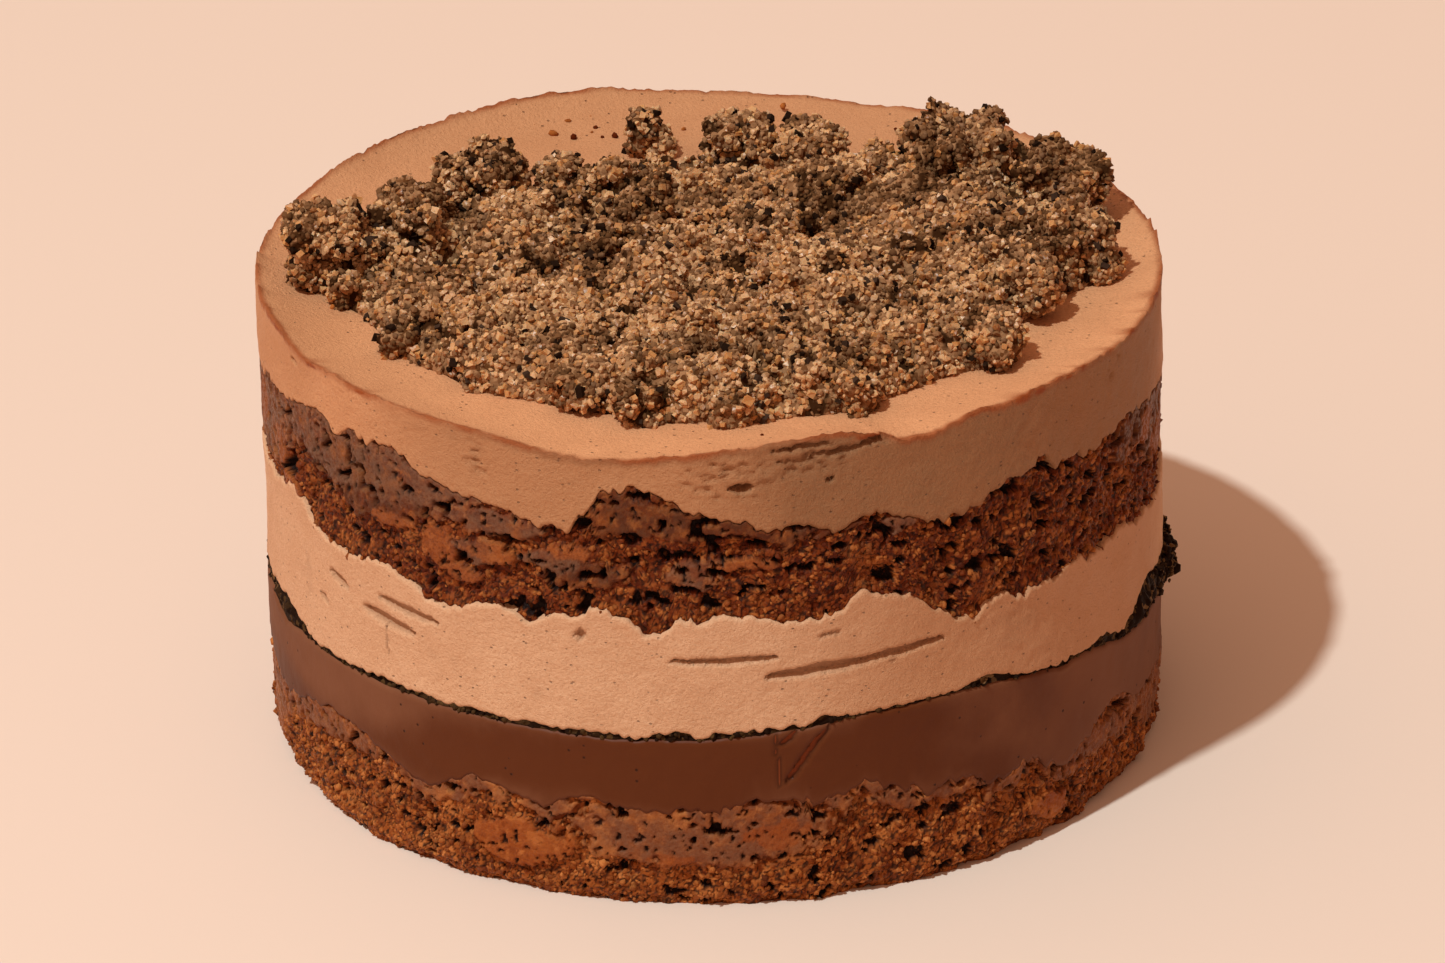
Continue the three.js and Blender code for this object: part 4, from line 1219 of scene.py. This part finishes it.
def crevices(place):
    """How much of a crevice there is at places in the heap, from 0 to 1: the borders between the cells of a
    cellular noise, in some stretches only."""
    bend = [noise_at(place, CREVICE["bend"], CREVICE["seed"] + turn) for turn in (1, 2, 3)]
    gap = cells(place + CREVICE["reach"] * np.stack(bend, axis=-1), CREVICE["size"], CREVICE["seed"])[1]
    stretches = noise_at(place, CREVICE["stretch"], CREVICE["seed"])
    open_here = smooth_step(stretches, CREVICE["from"], CREVICE["to"])
    return (1 - smooth_step(gap, CREVICE["width"] / 2, CREVICE["width"] * 1.5)) * open_here


@functools.lru_cache
def heap_core():
    """Points and faces of the heap's own core: rings round its centre, each lifted to the heap's height less
    the depth of the loose grains, with a relief of clumps, and a flat underside sunk in the mousse."""
    angle = np.linspace(0, 360, HEAP_COLUMNS, endpoint=False)
    share = np.linspace(1, 0.01, HEAP_RINGS)[:, None]
    flat = point_at(angle, heap_radius(angle) * share, 0.0) + [*HEAP_CENTRE, 0]
    x, y = flat[..., 0], flat[..., 1]
    height = heap_height(x, y, share)
    place = np.stack([x, y, height], axis=-1)
    relief = (crumbly(place, HEAP_CRUMBLE, 6)[0] - CREVICE["depth"] * crevices(place)) * (1 - hollow(x, y)[1])
    inner = smooth_step(1 - share, 0, 0.06)
    flat[..., 2] = np.maximum(height - GRAIN_DEPTH + relief * inner, DISH_HEIGHT - HEAP_SUNK + inner)
    foot = flat[0].copy()
    foot[:, 2] = DISH_HEIGHT - HEAP_FOOT
    rings = np.concatenate([[foot], flat])
    tip = [*HEAP_CENTRE, float(flat[-1, :, 2].mean())]
    return closed_grid(rings, [*HEAP_CENTRE, DISH_HEIGHT - HEAP_FOOT], tip)


def lump_centre(x, y, tall, sink):
    """The middle of a lump on the dish, sunk a little so that it has a flat spot to sit on."""
    return np.array([x, y, DISH_HEIGHT + tall * (1 - sink)])


def lump_stretch(way, radii, seed):
    """How much further out than its plain radii a lump reaches in a direction: noise, times the reach of a
    rounded block, which a sum of powers gives, turned by the seed."""
    bump = way * radii / LUMP_BUMP_SIZE
    turn = LUMP_TURN * seed
    along = math.cos(turn) * way[..., 0] + math.sin(turn) * way[..., 1]
    across = math.cos(turn) * way[..., 1] - math.sin(turn) * way[..., 0]
    block = (np.abs(along) ** LUMP_BLOCK + np.abs(across) ** LUMP_BLOCK + np.abs(way[..., 2]) ** LUMP_BLOCK)
    return block ** (-1 / LUMP_BLOCK) * (0.96 + LUMP_BUMP * noise(
        bump[..., 0] + seed, bump[..., 1] - seed, bump[..., 2] + 2 * seed))


@functools.lru_cache
def lump_skin(number):
    """Points and faces of a lump: rings of a ball, pushed in and out by noise, with a finer relief of clumps,
    and cut flat a little below the dish."""
    _, centre, radii, seed = all_lumps()[number]
    columns = max(18, round(2 * math.pi * radii[0] / LUMP_STEP))
    angle = np.linspace(0, 360, columns, endpoint=False)
    tilt = np.radians(np.linspace(-LUMP_POLE, LUMP_POLE, columns // 2))[:, None]
    turn = np.radians(angle)
    way = np.stack(np.broadcast_arrays(
        np.cos(tilt) * np.sin(turn), -np.cos(tilt) * np.cos(turn), np.sin(tilt)), axis=-1)
    poles = np.array([[[0, 0, -1.0]], [[0, 0, 1.0]]])

    def reach(directions):
        skin = directions * radii * lump_stretch(directions, radii, seed)[..., None]
        relief = min(1, radii[0] / 5) * (
            crumbly(skin, LUMP_CRUMBLE, seed)[0] - 0.8 * CREVICE["depth"] * crevices(skin + centre)) - 0.25
        skin = skin + directions * relief[..., None] + centre
        skin[..., 2] = np.maximum(skin[..., 2], DISH_HEIGHT - LUMP_FOOT)
        return skin

    foot, tip = reach(poles)[:, 0]
    return closed_grid(reach(way), foot, tip)


def heap_point(angle, share):
    """A point at a share of the way out from the heap's centre."""
    out = point_at(angle, heap_radius(angle) * share, 0.0)
    return out[..., 0] + HEAP_CENTRE[0], out[..., 1] + HEAP_CENTRE[1]


@functools.lru_cache
def all_lumps():
    """Every lump, large, small and single crumb: name or None, centre, radii and seed. Two fixed ratios, one
    step further each time, pick a share of the heap's area and a turn round it for each crumb, so that crumbs
    are spread evenly."""
    lumps = [(name, lump_centre(x, y, tall, LUMP_SINK), np.array([wide, deep, tall]), seed)
             for name, x, y, wide, deep, tall, seed in LARGE_LUMPS]
    lumps += [(None, lump_centre(x, y, size, SMALL_LUMP_SINK), np.array([size, size, size]), 80 + i)
              for i, (x, y, size) in enumerate(SMALL_LUMPS)]
    for kind in SCATTERED:
        for i in range(kind["count"]):
            area, turn = ((ratio * (i + 1)) % 1 for ratio in kind["spread"])
            out = kind["out"] * math.sqrt(area)
            x, y = (float(part) for part in heap_point(np.array(360 * turn), out))
            size = kind["first"] + (kind["last"] - kind["first"]) * math.sqrt(i / kind["count"])
            if kind["keep_out"] and any(math.hypot(x - at, y - along) <= width + size
                                        for at, along, width, _ in CAVES):
                continue
            centre = np.array([x, y, float(heap_height(x, y, out)) + kind["lift"] * size])
            radii = np.array([size, kind["deep"] * size, kind["tall"] * size])
            lumps.append((None, centre, radii, kind["seed"] + i))
    return lumps


def buried(points, but=None):
    """Which points lie under the dish, inside a lump other than the one of a number, or, where that is given,
    inside the heap's core."""
    x, y, z = points[:, 0], points[:, 1], points[:, 2]
    share = heap_share(x, y)
    inside = z < DISH_HEIGHT + 0.1
    if but is not None:
        inside |= (share < 1) & (z < heap_height(x, y, share) - BURIED_DEPTH)
    for number, (_, centre, radii, seed) in enumerate(all_lumps()):
        if number != but:
            near = np.flatnonzero(np.abs(points - centre).max(axis=1) < 1.6 * radii.max())
            away = (points[near] - centre) / radii
            length = np.linalg.norm(away, axis=1)
            way = away / np.maximum(length, 1e-6)[:, None]
            inside[near] |= length < BURIED * lump_stretch(way, radii, seed)
    return inside


class CAKE_OT_add_heap(Undoable, bpy.types.Operator):
    """Adds the bed of the crumb heap with its small lumps, and the core of each large lump"""

    bl_idname = "cake.add_heap"
    bl_label = "Crumb heap"

    def execute(self, context):
        look = core_look(context.scene.cake_colours)

        def with_gaps(points, faces):
            """Adds how much painted shade each point gets, in a crevice or a hollow."""
            gap = np.maximum(crevices(points), hollow(points[:, 0], points[:, 1])[1])
            return points, faces, [("crevice_shade", gap)]

        bed = [with_gaps(*heap_core())]
        for number, (name, *_) in enumerate(all_lumps()):
            part = with_gaps(*lump_skin(number))
            if name is None:
                bed.append(part)
            else:
                new_piece(name + "_core", part, [name], look)
        new_piece("crumb_heap_bed", join_parts(bed), ["crumb_heap"], look)
        return {"FINISHED"}


class CAKE_OT_add_grains(Undoable, bpy.types.Operator):
    """Adds the loose grains on the heap and its lumps, one piece for each kind"""

    bl_idname = "cake.add_grains"
    bl_label = "Grains"

    def places(self, draw, spacing):
        """Where grains lie, their outward directions, and how much of a clump and of a crevice each place
        is."""
        spots, ways, clumped, gaps = [], [], [], []
        surfaces = [(None, heap_core())] + [(number, lump_skin(number)) for number in range(len(all_lumps()))]
        for number, (points, (squares, triangles)) in surfaces:
            spot, way = spread_over(draw, points, squares, triangles, spacing)
            gap = crevices(spot)
            inside = hollow(spot[:, 0], spot[:, 1])[1]
            # fewer grains lie in crevices and none in hollows, so that the bed's painted shade shows there
            open_air = ~buried(spot, number) & (draw.random(len(spot)) > 0.3 * gap) & (inside < IN_HOLLOW)
            spot, way, gap = spot[open_air], way[open_air], gap[open_air]
            patch = smooth_step(layered(spot, CLUMPS), -0.1, 0.5)
            for x, y, reach, more in CLUMPY:
                away = (np.square(spot[:, 0] - x) + np.square(spot[:, 1] - y)) / reach ** 2
                patch = patch + more * np.exp(-away)
            lump = number is not None and number < len(LARGE_LUMPS) + len(SMALL_LUMPS)
            spots.append(spot)
            ways.append(way)
            clumped.append(0.3 + 0.7 * patch if lump else 0.9 * patch)
            gaps.append(gap)
        return tuple(np.concatenate(parts) for parts in (spots, ways, clumped, gaps))

    def execute(self, context):
        colours, sizes = context.scene.cake_colours, context.scene.cake_sizes
        draw = np.random.default_rng(DRAWS["grains"])
        spot, way, clump, gap = self.places(draw, sizes.grain_spacing / MM)
        pick, other = draw.random((2, len(spot)))
        radius = sizes.sugar_grain / MM / 2
        tone_and_crevice_shade = layered(spot, SHADES, 0.5) + 0.3 * draw.normal(size=len(spot))
        # painted shade: grains in crevices get darker tones
        tone_and_crevice_shade = tone_and_crevice_shade + 0.8 * gap + 0.5 * (clump - 0.3)

        def share_of(kind):
            return KINDS[kind] + KINDS[kind + "_in_clumps"] * clump + KINDS[kind + "_in_gaps"] * gap

        # painted shade: crevices pick more of the darker kinds of grains
        dark = pick < KINDS["dark"] + KINDS["dark_in_gaps"] * gap
        sandy = ~dark & (pick < KINDS["dark"] + share_of("sandy"))
        grey = sandy & (other < share_of("grey"))
        amber = ~dark & ~sandy & (other < KINDS["amber"])
        sugar = ~dark & ~sandy & ~amber
        block, ball, clear = block_grain(), round_grain(), 0.35
        kinds = (
            ("sugar_grains", sugar & (other > KINDS["round"]), ball, 0.8, 0.35,
             grain_look("sugar", colours.sugar, colours.sugar_dark, 0.3, clear)),
            ("pale_grains", sugar & (other <= KINDS["round"]), block, 0.85, 0.35,
             grain_look("pale_sugar", colours.sugar, colours.amber, 0.3, clear)),
            ("amber_grains", amber, ball, 0.8, 0.35,
             grain_look("burnt_sugar", colours.amber, colours.amber_dark, 0.3, clear)),
            ("cookie_grains", dark, block, 0.9, 0.5,
             grain_look("cookie_specks", colours.cookie_speck, colours.cookie, 0.75, 0, 0.3)),
            ("sandy_grains", sandy & ~grey, ball, 0.68, 0.45,
             grain_look("sandy_clump", colours.clump, colours.clump_dark, 0.7, 0)),
            ("grey_grains", grey, ball, 0.62, 0.45,
             grain_look("grey_clump", colours.grey_clump, colours.grey_clump_dark, 0.75, 0)),
        )
        for name, chosen, shape, size, vary, look in kinds:
            here = spot[chosen]
            radii = size * radius * (1 + vary * draw.uniform(-1, 1, len(here)))
            centres = here + way[chosen] * (radii * draw.uniform(-0.2, 0.5, len(here)))[:, None]
            parts = grain_parts(draw, shape, centres, radii, GRAIN_DENT, GRAIN_STRETCH, tone_and_crevice_shade[chosen])
            new_piece(name, parts, [], look, name == "grey_grains")
        return {"FINISHED"}


class CAKE_OT_add_loose_bits(Undoable, bpy.types.Operator):
    """Adds the few loose bits that lie on the mousse"""

    bl_idname = "cake.add_loose_bits"
    bl_label = "Loose bits"

    def execute(self, context):
        colours = context.scene.cake_colours
        bits = np.array(LOOSE_BITS, float)
        away = np.hypot(bits[:, 0], bits[:, 1])
        out = np.clip((away - DISH_EDGE) / (CAKE_RADIUS - DISH_EDGE), 0, 1) ** DISH_CURVE
        level = DISH_HEIGHT + (SEAMS["lip"]["mean"] - DISH_HEIGHT) * out
        centres = np.column_stack([bits[:, :2], level + 0.5 * bits[:, 2]])
        draw = np.random.default_rng(DRAWS["loose_bits"])
        parts = grain_parts(draw, round_grain(), centres, bits[:, 2], 0.15, GRAIN_STRETCH)
        look = grain_look("brown_bits", colours.sponge_light, colours.sponge_dark, 0.7, 0)
        new_piece("loose_bits", parts, ["mousse_top"], look)
        return {"FINISHED"}


class CAKE_OT_add_stage(Undoable, bpy.types.Operator):
    """Adds the floor, the light and the camera"""

    bl_idname = "cake.add_stage"
    bl_label = "Floor, light and camera"

    def execute(self, context):
        stage, scene = context.scene.cake_stage, context.scene
        corners = [(FLOOR_HALF * x, FLOOR_HALF * y, 0) for x, y in ((-1, -1), (1, -1), (1, 1), (-1, 1))]
        mesh = bpy.data.meshes.new("floor")
        mesh.from_pydata(corners, [], [(0, 1, 2, 3)])
        mesh.materials.append(floor_look(stage.floor))
        floor = bpy.data.objects.new("floor", mesh)
        scene.collection.objects.link(floor)
        self.add_key(scene, stage)
        self.add_surroundings(scene, stage)
        self.add_camera(scene, stage)
        scene.view_settings.view_transform = "Standard"
        return {"FINISHED"}

    def add_key(self, scene, stage):
        """A small round lamp far off. A lamp of power P gives a matt white floor at distance d the light
        P / (pi d)^2."""
        lamp = bpy.data.lights.new("key", "AREA")
        lamp.shape = "DISK"
        lamp.size = stage.key_width
        lamp.energy = stage.key_level * (math.pi * stage.key_distance) ** 2
        lamp.color = stage.key_colour
        key = bpy.data.objects.new("key", lamp)
        flat = math.cos(stage.key_elevation)
        way = Vector((math.sin(stage.key_turn) * flat, -math.cos(stage.key_turn) * flat,
                      math.sin(stage.key_elevation)))
        key.location = way * stage.key_distance
        key.rotation_euler = way.to_track_quat("Z", "Y").to_euler()
        scene.collection.objects.link(key)

    def add_surroundings(self, scene, stage):
        """A warm light from all round, brighter on one side: a colour times one plus a share of how much a
        direction points to the bright side. Past the floor's far edge the camera sees a colour of its own."""
        scene.world = bpy.data.worlds.new("surroundings")
        nodes = Nodes(scene.world)
        way = nodes.node("ShaderNodeTexCoord", {}, {}).outputs["Generated"]
        bright = (math.sin(stage.bright_turn), -math.cos(stage.bright_turn), 0)
        towards = nodes.node("ShaderNodeVectorMath", {"operation": "DOT_PRODUCT"}, {0: way, 1: bright})
        level = nodes.node("ShaderNodeMath", {"operation": "MULTIPLY_ADD"}, {
            0: towards.outputs["Value"], 1: stage.bright_share, 2: 1})
        positive = nodes.node("ShaderNodeMath", {"operation": "MAXIMUM"}, {0: level.outputs[0], 1: 0})
        light = nodes.node("ShaderNodeBackground", {}, {
            "Color": stage.fill_colour, "Strength": positive.outputs[0]})
        seen = nodes.node("ShaderNodeBackground", {}, {"Color": stage.backdrop})
        path = nodes.node("ShaderNodeLightPath", {}, {})
        either = nodes.node("ShaderNodeMixShader", {}, {
            0: path.outputs["Is Camera Ray"], 1: light.outputs[0], 2: seen.outputs[0]})
        nodes.node("ShaderNodeOutputWorld", {}, {"Surface": either.outputs[0]})

    def add_camera(self, scene, stage):
        """A camera that looks at the middle of the side, and is then pitched, yawed and rolled a little."""
        data = bpy.data.cameras.new("camera")
        data.sensor_width = 36
        data.lens = stage.lens
        camera = bpy.data.objects.new("camera", data)
        rise = stage.camera_elevation
        right = Vector((1, 0, 0))
        ahead = Vector((0, math.cos(rise), -math.sin(rise)))
        up = Vector((0, math.sin(rise), math.cos(rise)))
        start = Vector((0, 0, CAKE_RADIUS * MM / 2)) - ahead * stage.camera_distance
        for axis, turn in ((right, stage.pitch), (up, stage.yaw), (ahead, stage.roll)):
            spin = Matrix.Rotation(turn, 3, axis)
            right, ahead, up = spin @ right, spin @ ahead, spin @ up
        matrix = Matrix((right, up, -ahead)).transposed().to_4x4()
        matrix.translation = start
        camera.matrix_world = matrix
        scene.collection.objects.link(camera)
        scene.camera = camera


# What a user would change

def length(name, description, value):
    return bpy.props.FloatProperty(
        name=name, description=description, default=value * MM, min=0, precision=5, unit="LENGTH",
        subtype="DISTANCE")


def colour(name, description, value):
    """A colour, given as it is seen on a screen, from 0 to 255, and kept as light."""
    screen = np.array(value) / 255
    light = np.where(screen > 0.04045, ((screen + 0.055) / 1.055) ** 2.4, screen / 12.92)
    return bpy.props.FloatVectorProperty(
        name=name, description=description, default=tuple(light), min=0, max=1, size=3, subtype="COLOR")


def light_colour(name, description, value):
    return bpy.props.FloatVectorProperty(
        name=name, description=description, default=value, min=0, size=3, subtype="COLOR")


def number(name, description, value):
    return bpy.props.FloatProperty(name=name, description=description, default=value, min=0)


def angle(name, description, value):
    return bpy.props.FloatProperty(
        name=name, description=description, default=math.radians(value), unit="ROTATION", subtype="ANGLE")


class CakeSizes(bpy.types.PropertyGroup):
    """Sizes of the cake's surface"""

    sponge_crumb: length("Sponge crumb", "Distance between the loose crumbs on the sponge", 0.88)
    sugar_grain: length("Sugar grain", "Width of a sugar grain on the top", 1.3)
    grain_spacing: length("Grain spacing", "Distance between the grains on the heap", 0.95)
    dish_height: length("Dish height", "Height of the mousse inside its lip", DISH_HEIGHT)


class CakeColours(bpy.types.PropertyGroup):
    """Colours of the cake"""

    mousse: colour("Mousse", "The middle mousse", (222, 168, 130))
    # also the painted shade at the right of the middle mousse, away from the lamp
    mousse_dark_and_shade: colour("Mousse, darker", "Darker patches of the middle mousse", (186, 124, 84))
    mousse_top: colour("Top mousse", "The dish of the top mousse", (229, 158, 111))
    # also the painted shade at the right of the top mousse's side, away from the lamp
    mousse_top_rich_and_shade: colour("Top mousse, rich", "The browner parts of its side", (146, 99, 65))
    mousse_top_dark: colour("Top mousse, darker", "Darker patches of the top mousse", (176, 112, 72))
    rust: colour("Rust", "The torn crest of the lip", (150, 68, 24))
    sponge: colour("Upper sponge", "Crumbs of the upper sponge", (124, 52, 13))
    sponge_light: colour("Upper sponge, lighter", "Its lightest crumbs", (174, 97, 44))
    sponge_dark: colour("Upper sponge, darker", "Its darker crumbs", (80, 24, 3))
    sponge_pressed: colour("Upper sponge, pressed", "Where a blade has pressed it", (88, 48, 26))
    sponge_smear: colour("Upper sponge, smeared", "Where the mousse is wiped over it", (116, 77, 56))
    sponge_flake: colour("Upper sponge, flakes", "Smooth paler places", (150, 78, 36))
    sponge_low: colour("Lower sponge", "Crumbs of the lower sponge", (155, 78, 27))
    sponge_low_light: colour("Lower sponge, lighter", "Its lightest crumbs", (194, 114, 56))
    sponge_low_dark: colour("Lower sponge, darker", "Its darker crumbs", (112, 48, 13))
    sponge_low_pressed: colour("Lower sponge, pressed", "Where a blade has pressed it", (142, 80, 44))
    sponge_low_flake: colour("Lower sponge, flakes", "Smooth paler places", (148, 70, 24))
    # painted shade in the pits, the creases between crumbs and the pores
    sponge_pit_shade: colour("Sponge pits", "The bottom of the pits", (26, 4, 0))
    ganache: colour("Ganache", "The ganache", (90, 41, 14))
    ganache_bloom: colour("Ganache bloom", "The duller ganache near its edges", (120, 72, 48))
    gouge: colour("Gouge", "The inside of a scratch in the ganache", (138, 62, 26))
    cookie: colour("Cookie", "The dark cookie crumbs", (32, 16, 7))
    cookie_olive: colour("Cookie, olive", "The lighter bits among them", (80, 55, 30))
    cookie_tan: colour("Cookie, tan", "The pale bits where they spill out", (112, 80, 50))
    cookie_speck: colour("Cookie specks", "The dark specks in the heap", (64, 44, 33))
    sugar: colour("Sugar", "The lightest sugar grains", (210, 160, 114))
    sugar_dark: colour("Sugar, darker", "The darkest sugar grains", (158, 108, 70))
    amber: colour("Amber", "The lightest amber grains", (188, 126, 72))
    amber_dark: colour("Amber, darker", "The darkest amber grains", (144, 88, 46))
    clump: colour("Clumps", "The lightest sandy crumbs", (164, 116, 80))
    clump_dark: colour("Clumps, darker", "The darkest sandy crumbs", (112, 73, 45))
    grey_clump: colour("Grey clumps", "The lightest greyish sandy crumbs", (138, 99, 72))
    grey_clump_dark: colour("Grey clumps, darker", "The darkest greyish sandy crumbs", (92, 58, 33))
    # painted shade in the crevices and hollows of the heap
    crevice_shade: colour("Crevices", "The dark gaps in the heap", (56, 30, 12))
    bed: colour("Bed", "What shows between the grains", (98, 57, 29))


class CakeStage(bpy.types.PropertyGroup):
    """Floor, light and camera"""

    floor: colour("Floor", "The matt floor", (228, 199, 182))
    backdrop: colour("Backdrop", "What is seen above the floor's far edge", (240, 206, 184))
    key_turn: angle("Lamp turn", "Where the lamp is, round from the front towards +X", -39.8)
    key_elevation: angle("Lamp elevation", "How high the lamp is", 60.2)
    key_distance: length("Lamp distance", "How far the lamp is from the cake", 3500)
    key_width: length("Lamp width", "How wide the lamp is", 130)
    key_level: number("Lamp level", "How bright it makes a white floor that faces it", 0.927)
    key_colour: light_colour("Lamp colour", "The colour of its light", (0.76, 0.955, 1))
    fill_colour: light_colour("Fill colour", "The light from all round", (0.59, 0.378, 0.258))
    bright_turn: angle("Bright side", "Which side the light from all round is brighter on", -100)
    bright_share: number("Bright share", "How much brighter it is on that side", 0.45)
    lens: number("Lens", "Focal length in millimetres", 223.23)
    camera_distance: length("Camera distance", "From the middle of the cake's side", 1524)
    camera_elevation: angle("Camera elevation", "How far the camera looks down", 25.338)
    pitch: angle("Pitch", "How far the camera tips up", 0.1245)
    yaw: angle("Yaw", "How far it turns", -0.0551)
    roll: angle("Roll", "How far it leans", 1.1127)


STEPS = (
    CAKE_OT_add_sponges, CAKE_OT_add_ganache, CAKE_OT_add_dark_crumbs, CAKE_OT_add_mousse, CAKE_OT_add_heap,
    CAKE_OT_add_grains, CAKE_OT_add_loose_bits, CAKE_OT_add_stage,
)


class CAKE_PT_panel(bpy.types.Panel):
    """Lists the steps that build the cake"""

    bl_label = "Cookie cake"
    bl_space_type = "VIEW_3D"
    bl_region_type = "UI"
    bl_category = "Cake"

    def draw(self, context):
        for step in STEPS:
            self.layout.operator(step.bl_idname)
        for group in (context.scene.cake_sizes, context.scene.cake_colours, context.scene.cake_stage):
            box = self.layout.box()
            for name in group.__annotations__:
                box.prop(group, name)


GROUPS = (("cake_sizes", CakeSizes), ("cake_colours", CakeColours), ("cake_stage", CakeStage))


def register():
    for _, group in GROUPS:
        bpy.utils.register_class(group)
    for step in (*STEPS, CAKE_PT_panel):
        bpy.utils.register_class(step)
    for name, group in GROUPS:
        setattr(bpy.types.Scene, name, bpy.props.PointerProperty(type=group))


def unregister():
    for name, _ in GROUPS:
        delattr(bpy.types.Scene, name)
    for step in (CAKE_PT_panel, *reversed(STEPS)):
        bpy.utils.unregister_class(step)
    for _, group in reversed(GROUPS):
        bpy.utils.unregister_class(group)


def main():
    register()
    for step in STEPS:
        family, name = step.bl_idname.split(".")
        getattr(getattr(bpy.ops, family), name)()


if __name__ == "__main__":
    main()
